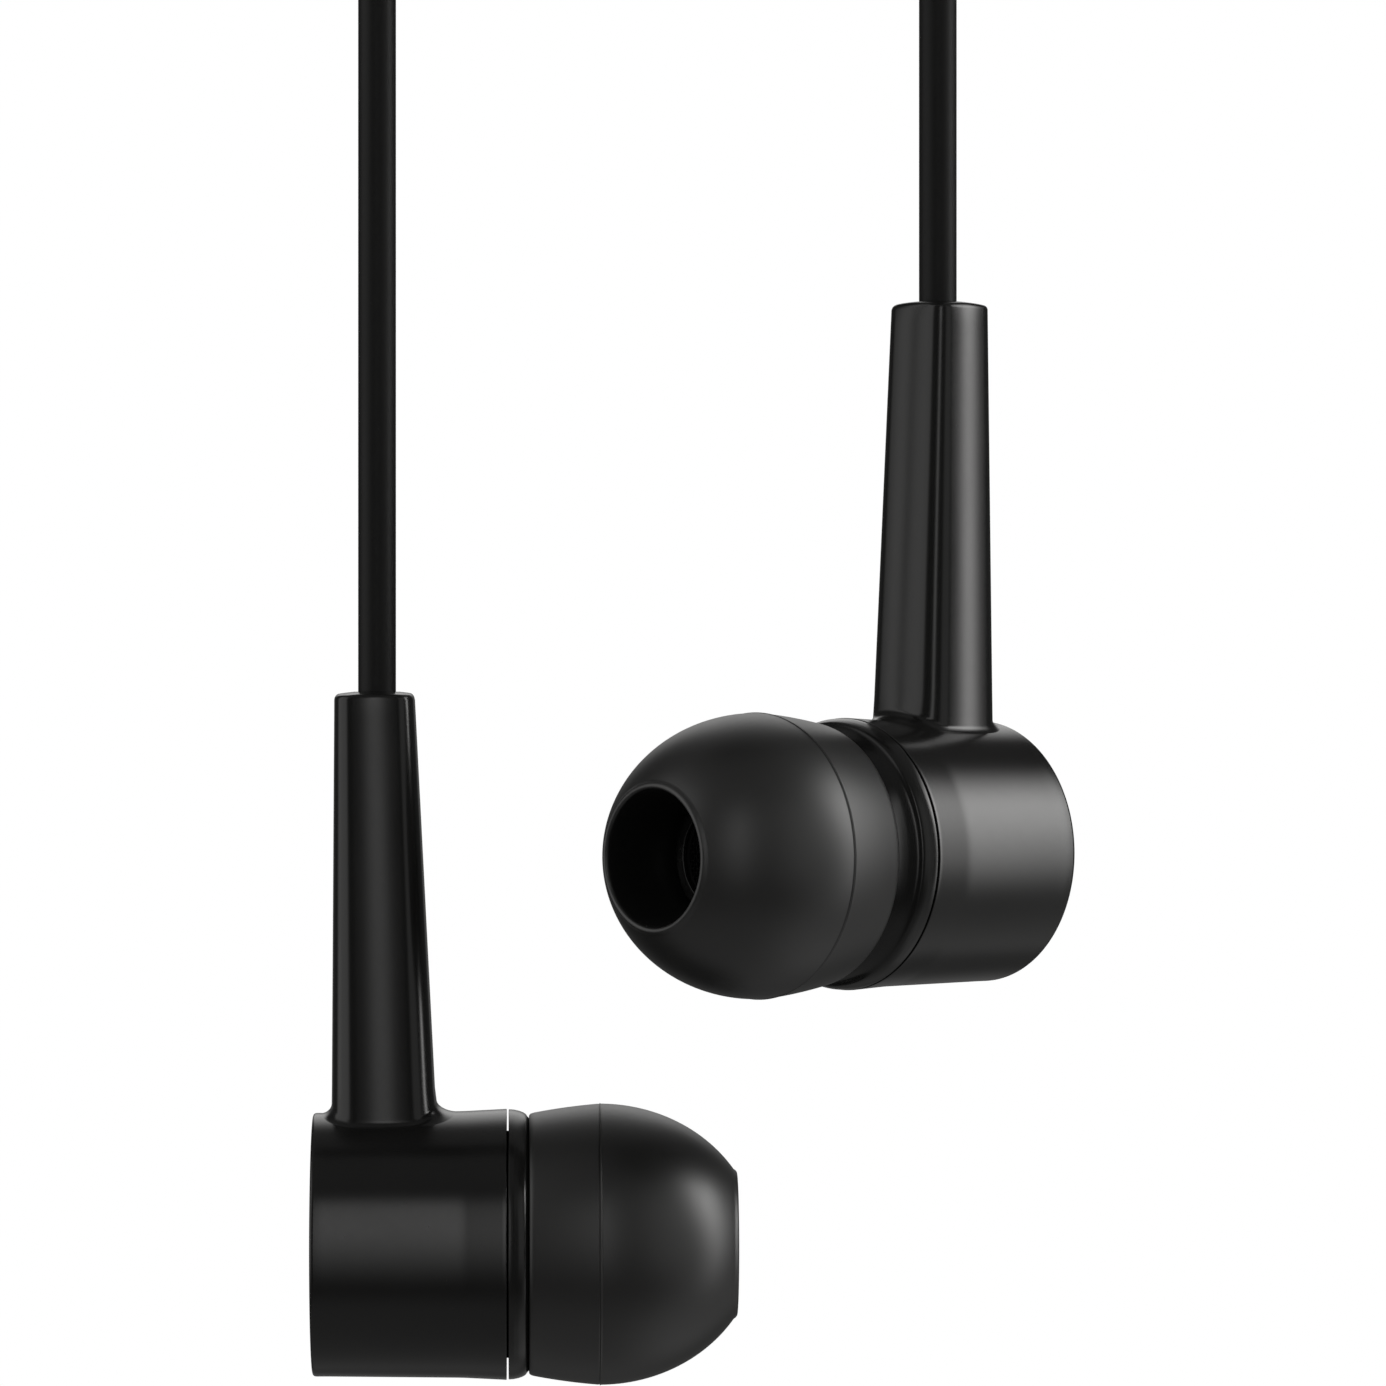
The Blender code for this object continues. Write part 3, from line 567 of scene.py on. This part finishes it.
def barrel(half_size, corner):
    """Square ring with crowned faces and rounded corners."""
    s, c = sin(FACE_SWELL), cos(FACE_SWELL)
    face = (half_size - corner * (c - s)) / (1 + s - c)
    centre = (face - corner) * s
    quarter = []
    for k in range(FACE_POINTS):            # face looking along +x
        angle = FACE_SWELL * (2 * (k + 0.5) / FACE_POINTS - 1)
        quarter.append((half_size - face * (1 - cos(angle)), face * sin(angle)))
    for k in range(CORNER_POINTS):          # corner between +x and +y
        angle = FACE_SWELL + (pi / 2 - 2 * FACE_SWELL) * (k + 0.5) / CORNER_POINTS
        quarter.append((centre + corner * cos(angle), centre + corner * sin(angle)))
    quarter_turns = ((1, 0), (0, 1), (-1, 0), (0, -1))
    return [(x * c - y * s, x * s + y * c) for c, s in quarter_turns for x, y in quarter]


def stem_ring(z):
    """Section of the tapering stem at height z."""
    down = 20.93 - z
    front, back = 1.66 + 0.0515 * down, 1.784 + 0.006 * down
    half_width = 1.78 + 0.0235 * down
    middle, half_depth = (front - back) / 2, (front + back) / 2
    return [(middle + x, y * half_width / half_depth)
            for x, y in barrel(half_depth, 0.84 + 0.022 * down)]


def ring_normals(ring):
    out = []
    count = len(ring)
    for k in range(count):
        x0, y0 = ring[k - 1]
        x1, y1 = ring[(k + 1) % count]
        length = hypot(x1 - x0, y1 - y0)
        out.append(((y1 - y0) / length, (x0 - x1) / length))
    return out


def outset(ring, distance):
    return [(x + nx * distance, y + ny * distance)
            for (x, y), (nx, ny) in zip(ring, ring_normals(ring))]


def level(ring, z):
    return [(x, y, z) for x, y in ring]


def housing_z(x, y):
    """Height of the rear housing's top surface above its axis."""
    return sqrt(wall_radius(x) ** 2 - y * y)


def top_z(x, y):
    """Height of the stem's crowned top."""
    return STEM_TOP + 0.17 - TOP_CROWN * min(1.2, (hypot(x, y) / 1.72) ** 2)


def fillet_ring(foot, normals, share):
    """Ring of the fillet on the housing; share 0 is its outer edge, 1 its top."""
    angle = pi / 2 * (1 - share)
    ring = []
    for (x, y), (nx, ny) in zip(foot, normals):
        ahead, behind = max(0.0, nx) ** 2, max(0.0, -nx) ** 2
        width = 0.26 + 0.66 * ahead + 0.20 * behind
        height = 0.24 + 0.28 * ahead + 0.18 * behind
        x += nx * width * (1 - cos(angle))
        y += ny * width * (1 - cos(angle))
        sunk = 0.010 * (1 - share) ** 3
        ring.append((x, y, housing_z(x, y) - sunk + height * (1 - sin(angle))))
    return ring


def foot_rings():
    """Buried foot, the fillet, and the way from its wavy top to a level ring."""
    foot = stem_ring(FOOT_Z)
    normals = ring_normals(foot)
    rings = [level(outset(foot, -0.25), 4.93), level(foot, 4.95)]
    rings += [fillet_ring(foot, normals, k / FILLET_STEPS) for k in range(FILLET_STEPS + 1)]
    wavy = rings[-1]
    for t in (1 / 3, 2 / 3, 1.0):
        rings.append([(x0 + (x - x0) * t, y0 + (y - y0) * t, z0 + (SHAFT_Z - z0) * t)
                      for (x0, y0), (x, y), (_, _, z0) in zip(foot, stem_ring(SHAFT_Z), wavy)])
    return rings


def shaft_rings():
    heights = [SHAFT_Z + (SHOULDER_Z - SHAFT_Z) * k / SHAFT_LEVELS
               for k in range(1, SHAFT_LEVELS + 1)]
    return [level(stem_ring(z), z) for z in heights]


def top_rings():
    """Rounded edge, crowned top in to the cable hole, and the hole's wall."""
    rings = []
    outline = stem_ring(STEM_TOP)
    for k in range(1, 9):
        angle = pi / 2 * k / 8
        rings.append([(x, y, SHOULDER_Z + (top_z(x, y) - SHOULDER_Z) * sin(angle))
                      for x, y in outset(outline, -TOP_EDGE * (1 - cos(angle)))])
    inner = outset(outline, -TOP_EDGE)
    angles = [atan2(y, x) for x, y in inner]

    def circle(radius):
        return [(radius * cos(angle), radius * sin(angle)) for angle in angles]

    for share in (0.25, 0.5, 0.75, 1.0):
        flat = [(x + (hole_x - x) * share, y + (hole_y - y) * share)
                for (x, y), (hole_x, hole_y) in zip(inner, circle(MOUTH_R))]
        rings.append([(x, y, top_z(x, y)) for x, y in flat])
    mouth_z = top_z(MOUTH_R, 0.0)
    for radius, z in ((HOLE_R + 0.015, mouth_z - 0.015), (HOLE_R, mouth_z - 0.06),
                      (HOLE_R, STEM_TOP - 1.2), (HOLE_R, STEM_TOP - 2.6)):
        rings.append(level(circle(radius), z))
    return rings


def build_stem(side):
    verts, faces = skin(foot_rings() + shaft_rings() + top_rings())
    matrix = placement(side.axis, UP.cross(side.axis), UP, side.at)
    attach(make(side.name + "_stem", verts, faces, "shell", matrix), side.name + "_bud")


# -------------------------------------------------------------- nozzle screen
WEAVE_PITCH, WIRE_R, WEAVE_REACH = 0.17, 0.036, 1.80
WEAVE_AT, WEAVE_WAVE = 12.36, 0.034     # place along the axis, wires' rise and fall
WIRE_SIDES = 6


def wire_points(direction, number):
    """Points of one waving wire, ring after ring; direction 0 runs along x, 1 along y."""
    offset = number * WEAVE_PITCH
    half = sqrt(WEAVE_REACH ** 2 - offset ** 2)
    runs = int(2 * half / (WEAVE_PITCH / 2))
    points = []
    for i in range(runs + 1):
        s = -half + 2 * half * i / runs
        z = WEAVE_AT + WEAVE_WAVE * cos(pi * s / WEAVE_PITCH + pi * (number + direction))
        for k in range(WIRE_SIDES):
            angle = pi / 3 * k
            across = offset + WIRE_R * cos(angle)
            height = z + WIRE_R * sin(angle)
            points.append((s, across, height) if direction == 0 else (across, s, height))
    return points


def build_screen(side):
    """Two sets of crossing wires across the nozzle's end, inside a thin ring."""
    verts, faces = [], []
    count = int(WEAVE_REACH / WEAVE_PITCH)
    for direction in (0, 1):
        for number in range(-count, count + 1):
            first = len(verts)
            verts += wire_points(direction, number)
            rows = [range(i, i + WIRE_SIDES) for i in range(first, len(verts), WIRE_SIDES)]
            for pair in zip(rows, rows[1:]):
                faces += band(*pair)
            faces += [tuple(reversed(rows[0])), tuple(rows[-1])]
    screen = make(side.name + "_woven_screen", verts, faces, "mesh",
                  frame_on(side.at, side.axis))
    attach(screen, side.name + "_bud", side.name + "_nozzle_mesh")
    profile = washer(inner=1.76, outer=1.93, low=12.28, high=12.44, inner_fillet=0.03,
                     outer_fillet=0.03, steps=3)
    rim = turned(side.name + "_screen_rim", profile, "mesh", side.at, side.axis, 96, closed=True)
    attach(rim, side.name + "_bud")


def build_bud(side):
    build_rear_shell(side)
    build_stem(side)
    build_front_shell(side)
    build_soft_tip(side)
    build_screen(side)


# ---------------------------------------------------------------- cable paths
HANK_Z = 62.5                           # centre of the hank
INNER_R, OUTER_R, HALF_W = 18.0, 20.2, 7.6      # main winding, branch winding, half width in y
SPLIT_X, SPLIT_Z, SPLIT_LEN = 23.9, 9.0, 12.0   # splitter's foot (z from the hank's centre)
PAIR_Y, PAIR_PITCH, PAIR_HALF = 6.2, 3.9, 0.975  # branch pair: first y, step per turn, half gap
JOIN = radians(130.0)                   # where the branches join the winding
BRANCH_R, MAIN_R = 0.785, 0.95
TURN_POINTS = 96
FADE_POINTS = 40
PATH_SPACING = 0.62
SETTLE_TOP, SETTLE_FALL = 46.0, 11.0    # height range where the left cable swings to its bud's y
LEFT_LOW = 34.6                         # lowest laid-out height of the left cable


def on_hank(radius, angle, y):
    return Vector((radius * cos(angle), y, HANK_Z + radius * sin(angle)))


def wander(angle, amount):
    """Small slow waver along a winding, so that the hank looks wound by hand."""
    return amount * (0.6 * sin(1.7 * angle + 0.4) + 0.4 * sin(0.61 * angle + 2.1))


def end_fade(i, count):
    return min(1.0, i / FADE_POINTS, (count - i) / FADE_POINTS)


def resample(points, spacing):
    """Evenly spaced points along a path."""
    distances = [0.0]
    for start, end in zip(points, points[1:]):
        distances.append(distances[-1] + (end - start).length)
    count = int(round(distances[-1] / spacing))
    stations = np.linspace(0, distances[-1], count + 1)
    coords = np.array([list(p) for p in points])
    columns = [np.interp(stations, distances, coords[:, i]) for i in range(3)]
    return [Vector(v) for v in np.stack(columns, axis=1)]


def relaxed(points, passes, keep_ends):
    """Path smoothed by repeated averaging, with keep_ends points held at each end."""
    coords = np.array([list(p) for p in points])
    for _ in range(passes):
        averaged = 0.25 * coords[:-2] + 0.5 * coords[1:-1] + 0.25 * coords[2:]
        coords[keep_ends:-keep_ends] = averaged[keep_ends - 1:1 - keep_ends]
    return [Vector(v) for v in coords]


def main_line():
    """Main cable from inside the plug, round the hank and up into the splitter."""
    bend_x, bend_z = PLUG_BEND.x - SHIFT.x, PLUG_BEND.z - SHIFT.z
    # inside the plug, down through the bend
    pts = [Vector((bend_x, 0, bend_z + 9.0 - 10.0 * k / 11)) for k in range(12)]
    # down to the hank's side
    drop = bend_z - HANK_Z - 1.12
    for i in range(1, 40):
        t = 1 - i / 40
        pts.append(Vector((-INNER_R + (bend_x + INNER_R) * smoothstep(t * 1.25),
                           -HALF_W * (1 - smoothstep(t * 1.08 - 0.04)), HANK_Z + drop * t)))
    # seven and a half turns
    count = int(7.5 * TURN_POINTS)
    for i in range(count + 1):
        angle = pi + tau * i / TURN_POINTS
        fade = end_fade(i, count)
        y = -HALF_W + 2 * HALF_W * i / count + 0.11 * sin(3 * angle + 0.8) * fade
        pts.append(on_hank(INNER_R + wander(angle, 0.16) * fade, angle, y))
    # up into the splitter
    for i in range(1, 30):
        t = i / 29
        pts.append(Vector((INNER_R + (SPLIT_X - INNER_R) * smoothstep(t),
                           HALF_W + (PAIR_Y - HALF_W) * smoothstep(t),
                           HANK_Z + (SPLIT_Z - 0.8) * t)))
    pts += [Vector((SPLIT_X, PAIR_Y, HANK_Z + SPLIT_Z - 0.8 + k)) for k in range(1, 5)]
    return relaxed(resample(pts, PATH_SPACING), passes=14, keep_ends=4)


def branch_arch(offset):
    """Bezier arch from the splitter's top over to the winding."""
    start = Vector((SPLIT_X, 0, HANK_Z + SPLIT_Z + SPLIT_LEN - 2.6))
    end = on_hank(OUTER_R, JOIN, 0)
    rise = start + Vector((0, 0, 22.0))
    landing = end - 15.0 * Vector((-sin(JOIN), 0, cos(JOIN)))
    pts = []
    for i in range(60):
        t = i / 60
        p = ((1 - t) ** 3 * start + 3 * (1 - t) ** 2 * t * rise
             + 3 * (1 - t) * t * t * landing + t ** 3 * end)
        y = PAIR_Y + offset * (1.0 - 0.08 * (1 - smoothstep(t * 4)))
        pts.append(Vector((p.x, y, p.z)))
    return pts


def branch_line(side):
    """Branch cable from the splitter, round the hank and down to where the drop begins."""
    offset = side.pair_sign * PAIR_HALF
    at = side.at - SHIFT
    bend = side.bend_radius
    turn = acos((bend - at.x) / (OUTER_R + bend))
    leave = pi + turn + 4 * pi

    def pair_y(angle):
        return PAIR_Y - PAIR_PITCH * (angle - JOIN) / tau + offset

    leave_y = pair_y(leave)

    def settled_y(share):
        return leave_y + (at.y - leave_y) * share

    def fallen(z):
        return smoothstep((SETTLE_TOP - z) / SETTLE_FALL)

    pts = branch_arch(offset)
    count = int(round((leave - JOIN) / tau * TURN_POINTS))
    for i in range(count + 1):
        angle = JOIN + (leave - JOIN) * i / count
        fade = end_fade(i, count)
        y = pair_y(angle) + 0.10 * sin(2.3 * angle + 1.9) * fade
        pts.append(on_hank(OUTER_R + wander(angle, 0.10) * fade, angle, y))
    # counter-bend from the winding to straight down over the bud
    centre = Vector((at.x - bend, 0, pts[-1].z - bend * sin(turn)))
    for i in range(1, 31):
        angle = turn * (1 - i / 30)
        p = centre + bend * Vector((cos(angle), 0, sin(angle)))
        share = fallen(p.z) if side is LEFT else smoothstep(i / 30)
        pts.append(Vector((p.x, settled_y(share), p.z)))
    if side is LEFT:
        z = pts[-1].z
        while z > LEFT_LOW:
            z -= 0.5
            pts.append(Vector((at.x, settled_y(fallen(z)), z)))
    pts.append(Vector((at.x, at.y, side.cut - SHIFT.z + 0.6)))
    return relaxed(resample(pts, PATH_SPACING), passes=8, keep_ends=3)


def straight(x, y, z_from, z_to, spacing):
    count = int(round(abs(z_to - z_from) / spacing))
    return [Vector((x, y, z_from + (z_to - z_from) * k / count)) for k in range(count + 1)]


# ---------------------------------------------------------------------- cables
CABLE_SIDES = 28


def cable(name, points, radius):
    """Round cable along a path, closed by flat ends."""
    last = len(points) - 1
    rings, normal = [], None
    for i, centre in enumerate(points):
        ahead = (points[min(i + 1, last)] - points[max(i - 1, 0)]).normalized()
        if normal is None:
            normal = Vector((0, 1, 0)) if abs(ahead.y) < 0.8 else Vector((1, 0, 0))
        normal = (normal - ahead * normal.dot(ahead)).normalized()
        across = ahead.cross(normal)
        angles = [tau * k / CABLE_SIDES for k in range(CABLE_SIDES)]
        rings.append([centre + radius * (cos(a) * normal + sin(a) * across) for a in angles])
    verts, faces = skin(rings)
    return make(name, verts, faces, "jacket", sharp_angle=60)


def blend_down(piece):
    """Bakes the piece's placement into its mesh; the piece is not attached to any part."""
    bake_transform(piece)


def build_main_cable():
    """The first piece crosses the bend under the plug, the rest lies in the hank."""
    line = [p + SHIFT for p in main_line()]
    split = next(i for i, p in enumerate(line) if p.z < PLUG_BEND.z - 7.0)
    lead = cable("main_cable_lead", line[:split + 1], MAIN_R)
    blend_down(lead)
    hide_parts("plug_cable_tail")
    wound = cable("main_cable_wound", line[split:], MAIN_R)
    attach(wound, "cable_hank", "main_cable")


def build_branch(side):
    """A wound piece, a short one below it and a long one down into the stem."""
    name, at, cut = side.name, side.at, side.cut
    coil = [p + SHIFT for p in branch_line(side)]
    attach(cable(name + "_branch_wound", coil, BRANCH_R), "cable_hank", name + "_cable_coil")
    middle = cut - 1.15
    stem_top = at.z + STEM_TOP
    upper = cable(name + "_branch_upper", straight(at.x, at.y, cut + 0.6, middle, 0.1), BRANCH_R)
    blend_down(upper)
    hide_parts(name + "_cable_drop")
    lower = cable(name + "_branch_lower", straight(at.x, at.y, middle, stem_top - 2.3, 0.22),
                  BRANCH_R)
    blend_down(lower)


# -------------------------------------------------------------------- splitter
def splitter_profile():
    grooves = []
    for k in range(3):      # grip rings near the lower end
        z = 1.5 + 0.62 * k
        radius = 2.50 + 0.045 * z
        grooves += [(radius, z, 0.05), (radius - 0.16, z + 0.06, 0.05),
                    (radius - 0.16, z + 0.24, 0.05), (radius + 0.01, z + 0.30, 0.05)]
    return rounded([(0.0, 0.0), (1.02, 0.0, 0.05), (1.95, 0.0, 0.30), (2.46, 0.85, 0.5)]
                   + grooves
                   + [(2.74, 4.4, 1.2), (2.76, 8.0, 1.0), (2.70, 11.2, 0.8),
                      (2.38, 11.97, 0.35), (2.0, SPLIT_LEN, 0.12),
                      (1.9, SPLIT_LEN - 0.18, 0.08), (0.0, SPLIT_LEN - 0.22)], steps=6)


def build_splitter():
    foot = Vector((SPLIT_X, PAIR_Y, HANK_Z + SPLIT_Z)) + SHIFT
    shell = turned("splitter_shell", splitter_profile(), "handle", foot, UP, 128)
    attach(shell, "cable_hank", "splitter_barrel")
    # two short collars where the branches leave
    collar = rounded([(0.80, -0.3), (0.93, -0.3, 0.04), (0.93, 0.18, 0.09), (0.80, 0.22, 0.03)],
                     closed=True, steps=4)
    for side in SIDES:
        at = foot + Vector((0, side.pair_sign * PAIR_HALF * 0.93, SPLIT_LEN))
        ring = turned("splitter_" + side.name + "_collar", collar, "handle", at, UP, 64,
                      closed=True)
        attach(ring, "cable_hank")


# ------------------------------------------------------------------------ plug
# Heights are from the shoulder where the contacts leave the handle.
STRAIN_LEN, HANDLE_LEN, HANDLE_TOP = 7.6, 16.0, -1.1
HANDLE_BOTTOM = HANDLE_TOP - HANDLE_LEN
SHOULDER = PLUG_BEND + Vector((0, 0, 1.2 + STRAIN_LEN + HANDLE_LEN - HANDLE_TOP))
CONTACT_R, CORE_R, INSULATOR_R = 1.75, 0.58, 1.71
SLEEVE_END, RING_LOW, RING_HIGH, TIP_LOW = 7.30, 7.9, 10.3, 10.9
INSULATOR_GAP = 0.03


def plug_piece(name, profile, slot, replaced, closed=True, segments=128):
    piece = turned(name, profile, slot, SHOULDER, UP, segments, closed)
    attach(piece, "plug", replaced)


def build_contacts():
    tip = rounded([(0, -3.2), (0.5, -3.2, 0.05), (0.5, TIP_LOW, 0.03), (CONTACT_R, TIP_LOW, 0.04),
                   (CONTACT_R, 11.38, 0.12), (1.14, 11.86, 0.16), (1.14, 12.08, 0.16),
                   (1.66, 12.42, 0.2), (CONTACT_R, 12.80, 0.22), (1.36, 13.46, 0.4),
                   (0.78, 13.86, 0.2), (0.5, 14.0, 0.15), (0, 14.0)], steps=7)
    plug_piece("plug_tip", tip, "plating", "plug_tip_contact", closed=False)
    ring = washer(CORE_R, CONTACT_R, RING_LOW, RING_HIGH, inner_fillet=0.03, outer_fillet=0.05)
    plug_piece("plug_ring", ring, "plating", "plug_ring_contact")
    sleeve = rounded([(CORE_R, -2.4, 0.03), (1.5, -2.4, 0.05), (1.5, -0.95, 0.03),
                      (2.60, -0.95, 0.08), (2.60, 0.0, 0.10), (CONTACT_R, 0.0, 0.05),
                      (CONTACT_R, SLEEVE_END, 0.05), (CORE_R, SLEEVE_END, 0.03)], closed=True)
    plug_piece("plug_sleeve", sleeve, "plating", "plug_sleeve_contact")


def build_insulators():
    for letter, low, high, replaced in (("a", RING_HIGH, TIP_LOW, "plug_insulator_tip"),
                                        ("b", SLEEVE_END, RING_LOW, "plug_insulator_ring")):
        profile = washer(CORE_R, INSULATOR_R, low + INSULATOR_GAP, high - INSULATOR_GAP,
                         inner_fillet=0.02, outer_fillet=0.03)
        plug_piece("plug_insulator_" + letter, profile, "ring_plastic", replaced)


def build_grip():
    grooves = []
    for k in range(5):      # finger grooves on the handle
        z = HANDLE_BOTTOM + 3.4 + 1.05 * k
        grooves += [(3.0, z, 0.12), (2.82, z + 0.16, 0.10), (2.82, z + 0.42, 0.10),
                    (3.0, z + 0.58, 0.12)]
    profile = rounded([(1.10, HANDLE_BOTTOM, 0.05), (2.40, HANDLE_BOTTOM, 0.18),
                       (2.86, HANDLE_BOTTOM + 0.8, 0.5), (3.0, HANDLE_BOTTOM + 2.4, 0.6)]
                      + grooves
                      + [(3.0, -2.2, 0.6), (2.78, -1.12, 0.28), (2.35, HANDLE_TOP, 0.05),
                         (2.35, -10.2, 0.05), (1.10, -10.8, 0.05)], closed=True, steps=6)
    plug_piece("plug_grip", profile, "handle", "plug_handle", segments=144)


def build_flex_sleeve():
    top = HANDLE_BOTTOM - 0.1
    ribs = []
    for k in range(6):      # flex ribs, each thinner than the one above
        z = top - 0.75 - 1.04 * k
        rib, valley = 2.02 - 0.115 * k, 1.33 - 0.02 * k
        ribs += [(rib, z, 0.14), (rib, z - 0.50, 0.14), (valley, z - 0.58, 0.08),
                 (valley, z - 0.96, 0.08)]
    profile = rounded([(1.0, top, 0.03), (2.15, top, 0.10), (2.12, top - 0.68, 0.06)]
                      + ribs
                      + [(1.28, top - 7.1, 0.10), (1.22, top - 7.5, 0.10),
                         (0.99, top - 7.5, 0.03)], closed=True)
    plug_piece("plug_flex_sleeve", profile, "rubber", "plug_strain_relief", segments=112)


# ---------------------------------------------------------------------- studio
# Directions in degrees: azimuth 0 at the camera and positive to its right, elevation up.
# Each pair is where an edge's soft fade starts and ends, from low to high.
SHEET_FADE = (26, 10)       # angle off straight ahead at which the sheets fade in
SHEETS = [
    dict(level=1.10, bottom=(4, 22), top=(34, 58)),
    dict(level=0.10, bottom=(-44, -18), top=(4, 22)),
]
PANELS = [
    # tall bright one at the right
    dict(level=7.0, left=(78, 87), right=(86, 97), bottom=(-36, 18), top=(26, 52), lean=True),
    # dim one at the left
    dict(level=0.85, left=(-112, -98), right=(-50, -38), bottom=(-30, -2), top=(40, 60)),
    # narrow one at the camera
    dict(level=1.80, left=(-7, -2.4), right=(2.6, 7.6), bottom=(-38, 24), top=(34, 50)),
    # faint ones between the camera and the right, and low at the right
    dict(level=0.35, left=(28, 36), right=(58, 70), bottom=(-30, -2), top=(34, 52)),
    dict(level=0.22, left=(40, 70), right=(130, 150), bottom=(-80, -60), top=(-24, -6)),
]
PANEL_LEAN = 0.0142         # rightward shift of a leaning edge per squared degree of elevation
FLOOR_LIGHT = dict(level=0.15, fade=(-30, -55))
CEILING_LIGHT = dict(level=0.09, fade=(40, 60))
AMBIENT = 0.05
WHITE = (1, 1, 1, 1)


def studio_strength(graph):
    """Brightness of the surroundings by direction."""
    math, step = graph.math, graph.step
    direction = graph.add("ShaderNodeTexCoord").outputs["Generated"]
    x, y, z = graph.add("ShaderNodeSeparateXYZ", Vector=direction).outputs
    azimuth = math("DEGREES", math("ARCTAN2", x, math("MULTIPLY", y, -1.0)))
    elevation = math("DEGREES", math("ARCSINE", z))
    off_ahead = math("SUBTRACT", 180.0, math("ABSOLUTE", azimuth))
    raised = math("MAXIMUM", elevation, 0.0)
    lean_shift = math("MULTIPLY", math("MULTIPLY", raised, raised), PANEL_LEAN)
    leaned = math("SUBTRACT", azimuth, lean_shift)

    def between(bottom, top):
        return math("MULTIPLY", step(elevation, *bottom), step(elevation, top[1], top[0]))

    def sheet(level, bottom, top):
        value = math("MULTIPLY", step(off_ahead, *SHEET_FADE), between(bottom, top))
        return math("MULTIPLY", value, level)

    def panel(level, left, right, bottom, top, lean=False):
        across = leaned if lean else azimuth
        value = math("MULTIPLY", step(azimuth, *left), step(across, right[1], right[0]))
        value = math("MULTIPLY", value, between(bottom, top))
        return math("MULTIPLY", value, level)

    total = sheet(**SHEETS[0])
    total = math("ADD", total, sheet(**SHEETS[1]))
    for values in PANELS:
        total = math("ADD", total, panel(**values))
    for light in (FLOOR_LIGHT, CEILING_LIGHT):
        glow = math("MULTIPLY", step(elevation, *light["fade"]), light["level"])
        total = math("ADD", total, glow)
    return math("ADD", total, AMBIENT)


def build_world():
    world = bpy.data.worlds.new("studio")
    bpy.context.scene.world = world
    graph = Graph(world)
    studio = graph.add("ShaderNodeBackground", Color=(1.0, 0.995, 0.985, 1),
                       Strength=studio_strength(graph))
    pale = graph.add("ShaderNodeBackground", Color=WHITE, Strength=1.0)
    surface = graph.camera_switch(lighting=studio.outputs["Background"],
                                  seen=pale.outputs["Background"])
    graph.add("ShaderNodeOutputWorld", Surface=surface)


def floor_material():
    """Plain white to the camera, mid grey to the light."""
    mat = bpy.data.materials.new("pale_floor")
    graph = Graph(mat)
    dim = graph.add("ShaderNodeBsdfDiffuse", Color=(0.5, 0.5, 0.5, 1))
    bright = graph.add("ShaderNodeEmission", Color=WHITE, Strength=1.0)
    surface = graph.camera_switch(lighting=dim.outputs["BSDF"], seen=bright.outputs["Emission"])
    graph.add("ShaderNodeOutputMaterial", Surface=surface)
    return mat


def build_floor():
    z, half = -0.055, 3.0       # metres
    mesh = bpy.data.meshes.new("floor")
    corners = [(-half, -half, z), (half, -half, z), (half, half, z), (-half, half, z)]
    mesh.from_pydata(corners, [], [(0, 1, 2, 3)])
    floor = bpy.data.objects.new("floor", mesh)
    bpy.context.scene.collection.objects.link(floor)
    mesh.materials.append(floor_material())
    floor.visible_diffuse = False
    floor.visible_glossy = False
    floor.visible_shadow = False


def build_camera():
    """Level camera in front of the product, looking along +Y."""
    camera = bpy.data.objects.new("camera", bpy.data.cameras.new("camera"))
    bpy.context.scene.collection.objects.link(camera)
    camera.data.sensor_width = 36.0
    camera.data.lens = 175.8961039
    camera.data.clip_start = 0.01
    camera.data.clip_end = 20.0
    camera.location = (SHIFT + Vector((0, -281.0, 0))) * MM
    camera.rotation_euler = (radians(90.0), 0.0, 0.0)
    bpy.context.scene.camera = camera


dress_cad_pieces()
for bud_side in SIDES:
    build_bud(bud_side)
build_main_cable()
for bud_side in SIDES:
    build_branch(bud_side)
build_splitter()
build_contacts()
build_insulators()
build_grip()
build_flex_sleeve()
build_world()
build_floor()
build_camera()
bpy.context.scene.view_settings.view_transform = "Standard"
bpy.context.scene.view_settings.look = "None"
